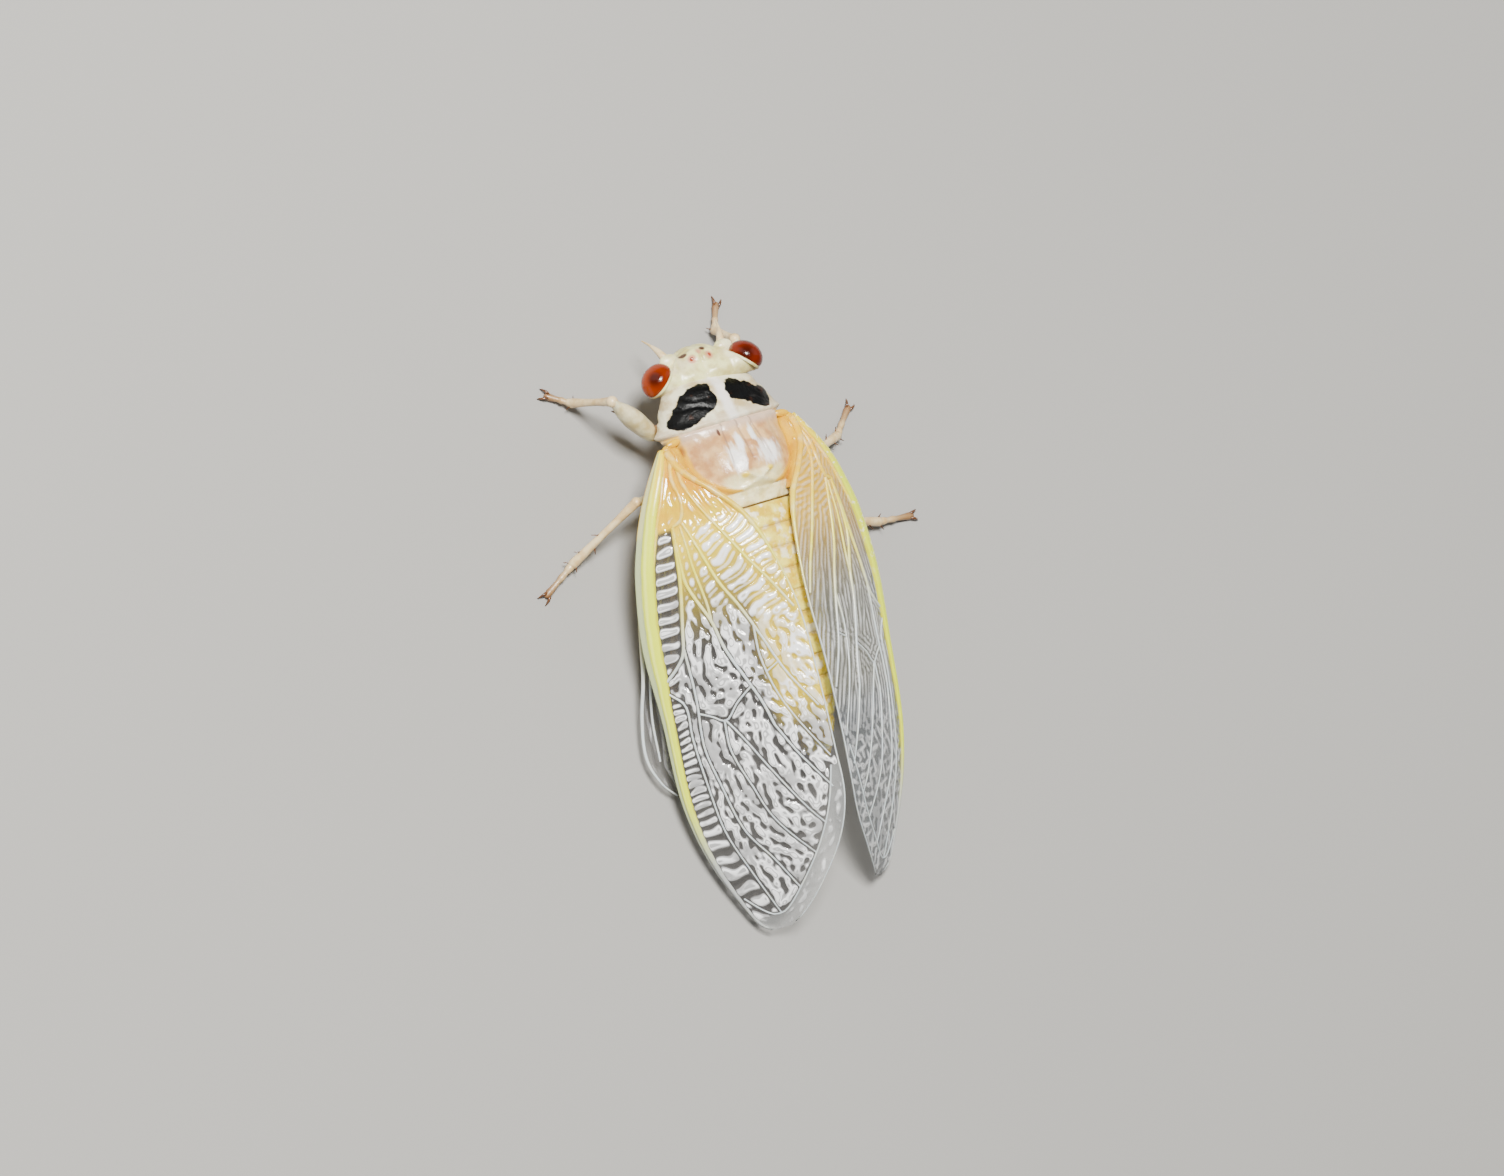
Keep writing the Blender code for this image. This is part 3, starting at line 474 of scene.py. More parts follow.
def last_ring_relief(across, up, back):
    """Height added to the thorax's last ring, a saddle between two swellings, and to the abdomen's back."""
    if up < 0.05:
        return 0.0
    amount = min(1.0, (up - 0.05) * 4)
    if back > THORAX_REAR:
        lumps = 0.045 * lump_noise(Vector((across * 7.0, back * 1.5, 5.0)))
        return lumps * amount * min(1.0, (back - THORAX_REAR) * 4)
    saddle = -0.10 * bump(across, 0.0, 0.10) + 0.09 * bump(abs(across), 0.36, 0.12)
    lumps = 0.05 * lump_noise(Vector((across * 8.0, back * 2.0, 9.0)))
    return (saddle * bump(back, 8.72, 0.30) + lumps) * amount


def ring_step(back):
    """The abdomen's overlap: each ring swells towards its rear edge, then drops to the next one's front."""
    if back < RING_EDGES[0]:
        return 0.0
    for front, rear in zip(RING_EDGES, RING_EDGES[1:]):
        if back <= rear:
            share = (back - front) / (rear - front)
            swell = 0.11 * min(1.0, share * 3.2) ** 0.8 - 0.05
            return swell + 0.02 * share - 0.07 * max(0.0, share - 0.93) / 0.07
    return 0.0


# %% [markdown]
# The trunk's skin is found at any place by its distance back and its angle round the body. Its sections
# stand close together where the skin folds, and farther apart on the plain rings.

# %% The trunk, drawn out
def trunk_point(back, angle, lift=0.0):
    """A place on the trunk's skin at an angle round it from the left side, lifted outwards in millimetres."""
    wide, middle, top, low, above, below = smooth_values(TRUNK, min(max(back, NECK), TAIL))
    upper = math.sin(angle) >= 0
    full, reach = (above, top - middle) if upper else (below, low - middle)
    across = power(math.cos(angle), 2 / full)
    height = abs(math.sin(angle)) ** (2 / full)
    behind = 0.0 if upper else smooth_values(LEAN, min(max(back, NECK), TAIL))[0] * height
    outward = Vector((across * abs(reach), 0, height * math.copysign(wide, reach)))
    outward = outward.normalized() if outward.length > 0 else Vector((0, 0, 1))
    return Vector((wide * across, back + behind, middle + reach * height)) + outward * lift


def trunk_backs():
    """Sections set closer where the skin folds."""
    backs = [NECK]
    folds = (PRONOTUM_REAR, DOME_REAR, THORAX_REAR) + RING_EDGES[1:-1]
    while backs[-1] < TAIL - 0.02:
        near = min(abs(backs[-1] - fold) for fold in folds)
        plain = 0.10 if backs[-1] < THORAX_REAR else 0.17
        backs.append(backs[-1] + (0.05 if near < 0.16 else plain))
    return backs[:-1] + [TAIL]


def plate_relief(across, up, back):
    """The relief of the plate that a place of the trunk is on."""
    if back < PRONOTUM_REAR:
        return shield_relief(across, up, back)
    if back < DOME_REAR:
        return dome_relief(across, up, back)
    return last_ring_relief(across, up, back)


SIDES = 128
rings = []
for back in trunk_backs():
    ring = []
    for s in range(SIDES):
        angle = 2 * math.pi * s / SIDES
        side_share, up_share = math.cos(angle), math.sin(angle)
        lift = ring_step(back) - crease_depth(back) + flank_relief(up_share, back)
        lift += plate_relief(side_share, up_share, back)
        ring.append(place(*trunk_point(back, angle, lift)))
    rings.append(ring)
trunk = drawn_out("trunk", rings)
print("trunk sections:", len(rings), "of", SIDES, "points")

# %% [markdown]
# ## The head
#
# A cicada's head is short and very broad, with an eye at each end. Its face is a swollen, ribbed bulb that
# holds the pump muscle, and under it lies the narrow lip that leads to the beak. Each is drawn out or
# swelled from a ball, and all are fused to the trunk later. The eyes sit on flat sockets, so the broad
# head is cut off flat at each eye and given a low rim there.

# %% Head shape
def eased(value, first, last):
    """0 before first, 1 after last, with a smooth rise between."""
    share = limited((value - first) / (last - first))
    return share * share * (3 - 2 * share)


def head_section(out, sides=64):
    """One section of the head, square to its width: an oval whose front slopes down to the face."""
    front, rear, middle, rise, fall = smooth_values(HEAD, abs(out))
    centre, half = (front + rear) / 2, (rear - front) / 2
    ring = []
    for s in range(sides):
        angle = 2 * math.pi * s / sides
        upper = math.sin(angle)
        fullness = HEAD_FULLNESS - 0.6 * max(0.0, math.cos(angle))
        run = half * power(math.cos(angle), 2 / fullness)
        reach = rise if upper >= 0 else fall
        z = middle + reach * power(upper, 2 / fullness) + HEAD_SLOPE * run
        if upper > 0:
            # the crown's fall towards the eyes, its middle groove, and hollows and swellings beside that
            z -= 0.55 * eased(abs(out), 1.3, 3.3) * eased(run / half, -0.1, 1.0) * upper
            z -= 0.10 * bump(out, 0, 0.12) * bump(run, 0.35, 0.55) * upper
            z -= 0.13 * bump(abs(out), 1.15, 0.32) * bump(run, -0.50, 0.35) * upper
            z += 0.09 * bump(abs(out), 0.75, 0.45) * bump(run, 0.40, 0.40) * upper
            z -= 0.10 * bump(abs(out), 1.75, 0.22) * bump(run, 0.45, 0.45) * upper
        ring.append(head_place(out, centre + run, z))
    return ring


def crown_height(out, back):
    """The height of the head's upper side, without its grooves."""
    front, rear, middle, rise, _ = smooth_values(HEAD, abs(out))
    centre, half = (front + rear) / 2, (rear - front) / 2
    share = min(1.0, abs(back - centre) / half)
    return middle + rise * (1 - share ** HEAD_FULLNESS) ** (1 / HEAD_FULLNESS) + HEAD_SLOPE * (back - centre)


def ribbed(p):
    """The face's swollen bulb: ribs from side to side, parted by a groove down its middle."""
    rib = math.cos(2 * math.pi * 8 * (p.z * 0.5 + 0.5)) * min(1.0, 3.5 * abs(p.x))
    groove = 0.05 * bump(p.x, 0.0, 0.07)
    return p * (1 + 0.022 * rib - groove)


# %% Head, face, brows and sockets
def eye_turn(side):
    """The turn that points a piece's own Z the way the eye faces."""
    looks = Vector((side * EYE_FACES.x, EYE_FACES.y, EYE_FACES.z))
    return looks.to_track_quat("Z", "Y").to_matrix()


def to_socket(obj, side, shape):
    """Sets a piece on the flat that carries the eye; shape gives each vertex its place on that flat."""
    turn = eye_turn(side)
    for vertex in obj.data.vertices:
        p = turn @ shape(vertex.co)
        vertex.co = head_place(side * EYE_OUT + p.x, EYE_BACK + p.y, EYE_HEIGHT + p.z)


def block_over_flat(co):
    return Vector((co.x * 6, co.y * 6, (co.z + 0.5) * 3 - SOCKET_DEPTH))


def ring_on_flat(co):
    return Vector((co.x, co.y, co.z - SOCKET_DEPTH))


head = drawn_out("head_form", [head_section(out) for out in spread(-HEAD[-1][0], HEAD[-1][0], 72)])
parts = [
    ball("face", (0.0, -0.50, 4.65), (1.70, 1.10, 1.80), 48, 64, shape=ribbed, put=head_place),
    ball("lip", (0.0, -0.05, 3.25), (0.75, 0.60, 0.75), put=head_place),
]
for side in (1, -1):
    parts.append(ball("brow", (side * 1.85, -0.95, 5.60), (0.62, 0.45, 0.30), put=head_place))
    deselect()
    bpy.ops.mesh.primitive_cube_add(size=1.0)
    cutter = bpy.context.object
    to_socket(cutter, side, block_over_flat)
    apply_modifier(head, "BOOLEAN", operation="DIFFERENCE", object=cutter, solver="EXACT")
    bpy.data.objects.remove(cutter)
    deselect()
    bpy.ops.mesh.primitive_torus_add(major_radius=SOCKET_RIM, minor_radius=SOCKET_RIM_THICKNESS,
                                     major_segments=48, minor_segments=12)
    rim = bpy.context.object
    to_socket(rim, side, ring_on_flat)
    parts.append(rim)
print("head pieces:", len(parts) + 1)

# %% [markdown]
# ## Legs, beak and feelers
#
# Each leg is a hip, a thigh, a long thin shin and a three-jointed foot with two claws. Front thighs are
# thick and spined, because the young insect dug with them. The beak lies folded back under the chest, and
# each feeler is a stout base with a bristle. All are tubes drawn out along smooth paths.

# %% Leg shapes
# shares of the way along a thigh, a shin or a foot, and the girth there as a share of the radius named
THIGH_SHARES = (0.0, 0.10, 0.30, 0.50, 0.72, 0.90, 1.0)
THIGH_SIZES = (0.72, 0.85, 0.95, 1.0, 0.80)          # of the thigh's, before the knee's take over
SHIN_SHARES = (0.0, 0.10, 0.30, 0.60, 0.88, 1.0)
SHIN_SIZES = (0.98, 0.80, 0.80, 1.0, 1.05)           # of the shin's, after the knee's
FOOT_SHARES = (0.18, 0.26, 0.48, 0.56, 0.9)
FOOT_SIZES = (1.0, 0.95, 0.70, 0.88, 0.68, 0.85, 0.95, 0.60)
# how far each joint of a claw is beyond the toe, to its side, and above the floor
CLAW = ((0.0, 0.10, 0.20), (0.30, 0.20, 0.36), (0.60, 0.30, 0.24), (0.76, 0.34, 0.06))
CLAW_SIZES = (0.10, 0.10, 0.055, 0.02)
SPURS = ((1, 0.55), (-1, 0.68), (1, 0.82), (-1, 0.97), (1, 0.99))          # side of the shin, share along it
SPINES = (0.30, 0.48, 0.66)                                                 # shares along a front thigh


def skin_spot(back, degrees, side):
    """A place on the trunk's side, so many degrees below its widest place, and the way it faces there."""
    angle = -math.radians(degrees) if side > 0 else math.pi + math.radians(degrees)
    here = trunk_point(back, angle)
    facing = trunk_point(back, angle, 1.0) - here
    return here, facing.normalized()


def between(one, two, share):
    return Vector(one).lerp(Vector(two), share)


def claw_pair(ankle, toe):
    """Two hooked claws that leave the foot's end to either side and touch the floor."""
    run = (toe - ankle).normalized()
    square = Vector((-run.y, run.x, 0)).normalized()
    for way in (1, -1):
        path = []
        for reach, aside, z in CLAW:
            p = toe + run * reach + square * way * aside
            path.append(Vector((p.x, p.y, z)))
        spine_parts.append(limb("claw", path, CLAW_SIZES, step=0.08, sides=10, floor_height=0.0))


def spur_row(kind, knee, ankle, radius):
    """Small spurs along the shin, most of them at its end; a front shin has only those."""
    along = (ankle - knee).normalized()
    for way, share in SPURS:
        if kind == "front" and share < 0.9:
            continue
        root = between(knee, ankle, share)
        out = (along.cross(Vector((0, 0, 1))).normalized() * way + Vector((0, 0, 0.25))).normalized()
        tip = root + out * (radius + 0.25) + along * 0.38
        spine_parts.append(limb("spur", [root + out * radius * 0.5, tip], (0.07, 0.018), step=0.15, sides=8))


def spine_row(second, knee, radius):
    """The digging spines under a front thigh."""
    for share in SPINES:
        root = between(second, knee, share)
        down = (Vector((0, 0, -1)) + (knee - second).normalized() * 0.5).normalized()
        spine_parts.append(limb("spine", [root + down * radius * 0.6, root + down * (radius + 0.38)],
                                (0.19, 0.04), step=0.12, sides=10))


# %% Legs
leg_parts, shin_parts, spine_parts = [], [], []
for name, joints in LEGS.items():
    second, knee, ankle, toe = (Vector(j) for j in joints)
    kind, side = name.split("_")[0], 1 if second.x > 0 else -1
    hip_r, thigh_r, knee_r, shin_r, foot_r = LEG_GIRTH[kind]
    hip, facing = skin_spot(*HIPS[kind], side)
    leg_parts.append(limb("hip", [hip - facing * 0.5, hip, between(hip, second, 0.6), second],
                          [hip_r * 1.1, hip_r * 1.15, hip_r * 1.0, hip_r * 0.75], sides=20))
    radii = [thigh_r * size for size in THIGH_SIZES] + [knee_r * 0.98] * 2
    path = [between(second, knee, share) for share in THIGH_SHARES]
    leg_parts.append(limb("thigh", path, radii, sides=20, flat=0.8))
    shin_parts.append(ball("knee", tuple(knee), (knee_r * 0.97,) * 3, 20, 14))
    radii = [knee_r * 0.85] + [shin_r * size for size in SHIN_SIZES]
    shin_parts.append(limb("shin", [between(knee, ankle, share) for share in SHIN_SHARES], radii, sides=16))
    run = (toe - ankle).normalized()
    flat_run = Vector((run.x, run.y, 0)).normalized()
    foot = [between(ankle, toe, share) for share in FOOT_SHARES]
    path = [ankle - run * 0.1] + foot + [toe, toe + flat_run * 0.3]
    radii = [foot_r * size for size in FOOT_SIZES]
    shin_parts.append(limb("foot", path, radii, step=0.12, sides=16, floor_height=0.0))
    claw_pair(ankle, toe)
    spur_row(kind, knee, ankle, shin_r)
    if kind == "front":
        spine_row(second, knee, thigh_r)
print("leg pieces:", len(leg_parts), len(shin_parts), "claws and spurs:", len(spine_parts))

# %% Beak and feelers
BEAK = ((0.0, -0.30, 2.45), (0.0, 0.15, 1.98), (0.0, 1.20, 1.88), (0.0, 3.20, 1.88), (0.0, 5.00, 1.66))
FEELER = ((1.85, -1.20, 5.15), (1.98, -1.40, 5.10), (2.12, -1.78, 4.85), (2.35, -2.30, 4.35),
          (2.55, -2.75, 3.65))
shin_parts.append(limb("beak", BEAK, (0.30, 0.33, 0.31, 0.27, 0.15), step=0.25))
for side in (1, -1):
    path = [(side * x, back, z) for x, back, z in FEELER]
    shin_parts.append(limb("feeler", path, (0.24, 0.25, 0.20, 0.085, 0.045), step=0.12, put=head_place))
print("with beak and feelers:", len(shin_parts))

# %% [markdown]
# ## One skin
#
# The pieces now overlap each other, each closed. One Boolean union turns them into one closed skin, which
# takes the place of the solids of the body, so that none of their thin gaps shows. Faces remember which
# finish they came from, through the order of the material slots.

# %% Finishes of the skin
SKIN_FINISHES = ("head_cuticle", "shield_cuticle", "dome_cuticle", "abdomen_cuticle", "thigh_cuticle",
                 "shin_cuticle")
OTHER_FINISHES = ("horn", "eye_lens", "ocellus_lens", "membrane", "hind_membrane", "vein", "costal_rib",
                  "hinge")
materials = {}
for name in SKIN_FINISHES + OTHER_FINISHES:
    materials[name] = bpy.data.materials.new(name)
    materials[name].use_nodes = True


def give_finish(obj, finish):
    """The same slots for every piece, so that the union keeps each face's own."""
    obj.data.materials.clear()
    for name in SKIN_FINISHES:
        obj.data.materials.append(materials[name])
    for polygon in obj.data.polygons:
        polygon.material_index = SKIN_FINISHES.index(finish)


give_finish(trunk, "abdomen_cuticle")
for polygon in trunk.data.polygons:
    back = polygon.center.y / MM + MIDDLE_BACK
    if back < PRONOTUM_REAR:
        polygon.material_index = SKIN_FINISHES.index("shield_cuticle")
    elif back < DOME_REAR:
        polygon.material_index = SKIN_FINISHES.index("dome_cuticle")
for obj in [head] + parts:
    give_finish(obj, "head_cuticle")
for obj in leg_parts:
    give_finish(obj, "thigh_cuticle")
for obj in shin_parts:
    give_finish(obj, "shin_cuticle")
print("finishes:", len(materials))

# %% Fusing the skin
tools = bpy.data.collections.new("tools")
bpy.context.scene.collection.children.link(tools)
for obj in [head] + parts + leg_parts + shin_parts:
    for owner in list(obj.users_collection):
        owner.objects.unlink(obj)
    tools.objects.link(obj)
skin = trunk
skin.name = "skin"
apply_modifier(skin, "BOOLEAN", operation="UNION", operand_type="COLLECTION", collection=tools,
               solver="MANIFOLD")
for obj in list(tools.objects):
    bpy.data.objects.remove(obj)
bpy.data.collections.remove(tools)
print("fused skin:", len(skin.data.vertices), "vertices")

# %% [markdown]
# The two black patches have a lobed outline that ovals would miss. Their outlines are given as corners on
# the back, and each vertex of the skin stores how far it is inside them, in millimetres. The material
# then roughens that edge with noise, so it needs no picture.

# %% Distances in the plan
def distance_to_lines(points, lines):
    """For each of many flat points, the distance to the nearest line, all at once with numpy."""
    best = np.full(len(points), 1e9)
    for line in lines:
        for one, two in zip(line, line[1:]):
            run = np.array(two - one)
            offset = points - np.array(one)
            share = np.clip(offset @ run / (run @ run), 0, 1)
            best = np.minimum(best, np.linalg.norm(offset - share[:, None] * run, axis=1))
    return best


def inside_outline(points, corners):
    """For each point, its distance to a closed outline, positive inside it."""
    loop = [Vector(c) for c in corners] + [Vector(corners[0])]
    gap = distance_to_lines(points, [loop])
    within = np.zeros(len(points), dtype=bool)
    for one, two in zip(loop, loop[1:]):
        level = (one.y > points[:, 1]) != (two.y > points[:, 1])
        rise = two.y - one.y if two.y != one.y else 1e-9
        cut = (two.x - one.x) * (points[:, 1] - one.y) / rise + one.x
        within ^= level & (points[:, 0] < cut)
    return np.where(within, gap, -gap)


def vertex_places(obj):
    """All vertices of a piece as insect millimetres."""
    flat = np.zeros(len(obj.data.vertices) * 3)
    obj.data.vertices.foreach_get("co", flat)
    return flat.reshape(-1, 3) / MM + np.array((MIDDLE_X, MIDDLE_BACK, 0))


def store(obj, name, values):
    """Keeps one number for each vertex, for the material to read."""
    layer = obj.data.attributes.new(name, "FLOAT", "POINT")
    layer.data.foreach_set("value", np.asarray(values, dtype=np.float32))


# %% Black patches
# corners of each outline, as (x, back)
LEFT_PATCH = ((0.55, 1.05), (0.68, 1.55), (0.42, 2.15), (0.76, 2.58), (1.19, 2.87), (2.01, 3.22),
              (2.50, 3.45), (3.05, 3.56), (3.62, 3.50), (3.88, 3.12), (3.74, 2.70), (3.42, 2.42),
              (3.30, 2.12), (2.90, 1.86), (2.62, 1.45), (1.90, 1.12), (1.20, 0.98))
RIGHT_PATCH = ((-0.42, 1.30), (-0.28, 1.78), (-0.36, 2.44), (-0.80, 2.64), (-1.40, 2.84), (-1.80, 3.12),
               (-2.40, 3.44), (-2.95, 3.50), (-3.35, 3.20), (-3.55, 2.60), (-3.40, 2.22), (-3.05, 1.98),
               (-2.62, 2.00), (-2.36, 1.80), (-2.08, 1.50), (-1.72, 1.55), (-1.40, 1.28), (-0.90, 1.10))
PATCH_FLOOR = 5.8          # the patches are only on the back, above this height

spots = vertex_places(skin)
inside = np.maximum(inside_outline(spots[:, :2], LEFT_PATCH), inside_outline(spots[:, :2], RIGHT_PATCH))
store(skin, "patch", np.where(spots[:, 2] > PATCH_FLOOR, inside, -1.0))
store(skin, "rim", distance_to_lines(np.abs(spots[:, :2]), [[Vector(p) for p in RIM_LINE]]))
print("vertices inside the patches:", int((inside > 0).sum()))

# %% The skin in place of the body's nodes
select(skin)
bpy.ops.object.shade_smooth_by_angle(angle=math.radians(48))
BODY_NODES = [n for n in frame["nodes"] if not n.startswith(("eye_", "forewing_", "hindwing_"))]
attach(skin, "root")
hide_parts(*BODY_NODES)
print("skin:", len(skin.data.polygons), "faces in place of", len(BODY_NODES), "nodes")

# %% [markdown]
# Claws, spurs and spines are horn: solid, sharp, and darker than the skin that they grow from. They could be
# fused with the legs, but their points are finer than the union keeps, so they are joined to one another
# and stay a piece of their own.

# %% Claws, spurs and spines
def joined(pieces, name):
    select(*pieces)
    bpy.ops.object.join()
    bpy.context.object.name = name
    return bpy.context.object


def dress(obj, material):
    """One finish all over."""
    obj.data.materials.clear()
    obj.data.materials.append(materials[material])


claws = joined(spine_parts, "claws_and_spurs")
dress(claws, "horn")
bpy.ops.object.shade_smooth_by_angle(angle=math.radians(60))
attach(claws, "root")
print("claws and spurs:", len(claws.data.polygons), "faces")

# %% [markdown]
# ## Eyes
#
# Each large eye is a dome of thousands of lenses that stands out from the end of the head, and three small
# single eyes sit on the crown. Each is a ball pushed into its socket, so that only its dome shows. The
# lenses are too fine for geometry, and come in the material.

# %% Eyes
def domed(p):
    """A ball that is flatter behind."""
    return Vector((p.x, p.y, p.z if p.z > 0 else p.z * 0.62))


for side, name in ((1, "eye_left"), (-1, "eye_right")):
    eye = ball(name + "_dome", (side * EYE_OUT, EYE_BACK, EYE_HEIGHT), (EYE_RADIUS, EYE_RADIUS, EYE_DEPTH),
               64, 40, turn=eye_turn(side), shape=domed, put=head_place)
    dress(eye, "eye_lens")
    select(eye)
    bpy.ops.object.shade_smooth()
    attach(eye, "root")
    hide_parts(name)

dots = []
for out, back in OCELLI:
    centre = (out, back, crown_height(out, back))
    dots.append(ball("ocellus", centre, OCELLUS_RADII, 20, 12, put=head_place))
ocelli = joined(dots, "ocelli")
dress(ocelli, "ocellus_lens")
bpy.ops.object.shade_smooth()
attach(ocelli, "root")
print("eyes: 2 large and", len(dots), "small")

# %% [markdown]
# ## Wings
#
# A wing is a film far thinner than paper, held by hollow veins, with a stiff rib along its front edge. It
# is drawn in a plan, seen square on, as places (back, out), and `spot` sets a place of the plan on the
# curved, leaning sheet. The film is a fine grid laid on that sheet. In a fresh wing it is still puckered
# between the veins, so each vertex is pushed out or in by a ripple that dies away at the veins.

# %% Wing edges
# back, front edge (out, height over the eyes), inner edge (the same), bulge between them
FOREWING = (
    (4.30, 4.90, 0.40, 4.35, 0.80, 0.05), (5.90, 6.05, 0.15, 4.15, 1.60, 0.15),
    (7.60, 7.05, -0.10, 2.95, 2.60, 0.30), (9.30, 7.75, -0.45, 1.75, 3.05, 0.40),
    (11.6, 8.40, -0.95, 1.00, 3.42, 0.45), (15.8, 8.85, -1.85, 0.36, 3.75, 0.45),
    (20.4, 8.60, -2.65, 0.36, 3.55, 0.45), (25.1, 8.45, -3.65, 0.36, 2.90, 0.45),
    (28.0, 7.95, -4.15, 0.36, 2.30, 0.40), (30.5, 7.15, -4.50, 0.80, 0.95, 0.30),
    (33.0, 6.00, -4.75, 1.90, -1.10, 0.15), (34.5, 5.15, -4.80, 2.80, -2.80, 0.05),
    (35.1, 4.40, -4.75, 3.35, -3.90, 0.0),
)
HINDWING = (
    (7.60, 5.00, 0.05, 4.25, 0.65, 0.0), (9.50, 6.40, -1.10, 4.40, 0.60, 0.0),
    (12.0, 7.70, -2.15, 4.50, 0.40, 0.0), (15.0, 8.30, -2.90, 4.15, 0.35, -0.05),
    (17.5, 8.65, -3.55, 3.80, 0.10, -0.25), (20.1, 9.20, -4.35, 3.50, -0.50, -0.50),
    (22.4, 9.50, -4.60, 3.80, -1.50, -0.70), (24.2, 8.90, -4.70, 4.90, -2.90, -0.60),
    (25.3, 7.95, -4.80, 6.30, -4.40, -0.10),
)
WING_LEAN = math.radians(28)          # the slope that the plan is seen square to
RIGHT_TIP_SHORT, RIGHT_TUCK = 0.04, 0.32          # shares of the length and of the width

# %% [markdown]
# The veins are the wing's map. One runs just behind the front edge, others fan out from the base and fork,
# and the last one follows the edge round the tip. Each is a line through a few places of the plan, which
# could be traced as a curve by hand. Written down, the same line also serves the puckers, which die away
# beside it.

# %% Wing veins
# main veins in the plan, each with its half thickness at its root and at its end
FOREWING_VEINS = (
    (((5.0, 4.0), (7.2, 4.8), (8.8, 5.6), (11.3, 6.6), (15.5, 7.8), (18.2, 8.0), (19.8, 8.3)), 0.16, 0.12),
    (((18.3, 8.0), (17.5, 6.9), (16.8, 6.3), (15.4, 5.9), (12.6, 5.2), (10.8, 4.9), (9.1, 4.65)), 0.10, 0.13),
    (((5.0, 3.6), (6.4, 3.85), (7.6, 3.65), (8.8, 4.0), (9.1, 4.65)), 0.17, 0.12),
    (((16.4, 6.15), (19.6, 6.3), (22.7, 6.7), (25.2, 6.4), (28.4, 5.8), (30.7, 4.55), (32.9, 3.55)),
     0.09, 0.055),
    (((18.9, 7.9), (19.9, 7.1), (22.0, 7.25), (25.2, 7.2), (28.2, 7.0), (31.0, 6.2), (34.1, 5.2)),
     0.08, 0.05),
    (((9.1, 4.65), (11.4, 4.84), (12.8, 4.85), (15.4, 4.0), (17.2, 3.7), (20.9, 2.45), (22.6, 2.1)),
     0.13, 0.09),
    (((22.6, 2.1), (24.6, 1.25), (26.2, 0.4), (27.3, -0.2)), 0.085, 0.05),
    (((21.5, 4.9), (22.8, 4.2), (25.4, 3.0), (28.1, 1.65), (29.4, 0.85)), 0.075, 0.05),
    (((21.4, 5.0), (23.4, 5.15), (26.1, 4.45), (27.7, 4.0), (29.1, 3.3), (31.0, 2.0)), 0.075, 0.05),
    (((9.0, 4.0), (10.6, 3.56), (13.1, 2.9), (14.9, 2.1), (17.0, 1.35), (19.6, 0.5), (22.2, -0.8)),
     0.13, 0.07),
    (((9.2, 4.2), (10.4, 4.17), (11.8, 4.16), (14.2, 3.97), (15.4, 4.0)), 0.09, 0.09),
    (((16.3, 1.6), (18.2, 1.75), (20.6, 1.4), (22.6, 0.7), (25.4, -0.6)), 0.08, 0.05),
    (((5.2, 3.4), (6.8, 3.25), (8.1, 2.8), (9.3, 2.25), (10.6, 1.6), (12.2, 0.8), (14.2, -0.3), (15.9, -1.1)),
     0.15, 0.08),
    (((20.6, 6.45), (21.0, 5.7), (21.5, 4.9), (20.6, 3.9), (19.9, 2.85)), 0.065, 0.065),
    (((18.9, 0.8), (19.3, 1.65)), 0.06, 0.06),
    (((26.0, -0.45), (27.8, 0.15), (29.3, 0.85), (31.0, 1.95), (32.8, 3.5), (34.0, 4.8), (34.1, 5.6),
      (33.6, 6.3), (32.6, 7.2)), 0.055, 0.055),
)
HINDWING_VEINS = (
    (((8.0, 3.9), (12.0, 7.2), (16.0, 8.3), (20.0, 9.4), (22.8, 9.7)), 0.13, 0.07),
    (((8.2, 3.8), (13.0, 6.6), (17.0, 7.6), (21.0, 8.6), (23.8, 8.7)), 0.09, 0.05),
    (((8.2, 3.7), (13.0, 5.5), (17.0, 6.3), (21.0, 7.0), (23.6, 7.2)), 0.09, 0.05),
    (((8.2, 3.6), (12.5, 4.5), (16.5, 4.6), (20.5, 5.2), (22.2, 5.6)), 0.08, 0.05),
)
print("veins:", len(FOREWING_VEINS), "on a forewing and", len(HINDWING_VEINS), "on a hind wing")


# %% [markdown]
# A wing could be modelled flat and then bent by a modifier, but film, veins and ribs would each have to be
# bent alike. `Wing` is one rule for all of them: it gives the place on the curved sheet for each place of
# the plan. The right wings are the left ones mirrored, but the forewing is a little shorter and the hind
# wing lies tucked in under it.

# %% A wing's sheet
class Wing:
    """A wing's sheet: its plan, and where each place of the plan lies."""

    def __init__(self, stations, side, shorten=0.0, tuck=0.0):
        self.stations, self.side, self.shorten, self.tuck = stations, side, shorten, tuck
        self.root, self.tip = stations[0][0], stations[-1][0]

    def edges(self, back):
        out, low, inner, high, bulge = smooth_values(self.stations, back)
        outer, inner = Vector((out, low)), Vector((inner, high))
        outer.x += (inner.x - outer.x) * self.tuck * (back - self.root) / (self.tip - self.root)
        return outer, inner, bulge

    def plan_edges(self, back):
        lean = Vector((math.cos(WING_LEAN), -math.sin(WING_LEAN)))
        outer, inner, _ = self.edges(back)
        return outer.dot(lean), inner.dot(lean)

    def spot(self, back, share):
        """The middle of the sheet, share of the way from the inner edge to the front edge."""
        outer, inner, bulge = self.edges(back)
        across = outer - inner
        lift = Vector((-across.y, across.x)).normalized() * bulge * 4 * share * (1 - share)
        x, z = inner + across * share + lift
        return Vector((self.side * x, back - self.shorten * (back - self.root), EYE_HEIGHT + z))

    def plan_spot(self, back, out):
        far, near = self.plan_edges(back)
        return self.spot(back, (out - near) / (far - near))


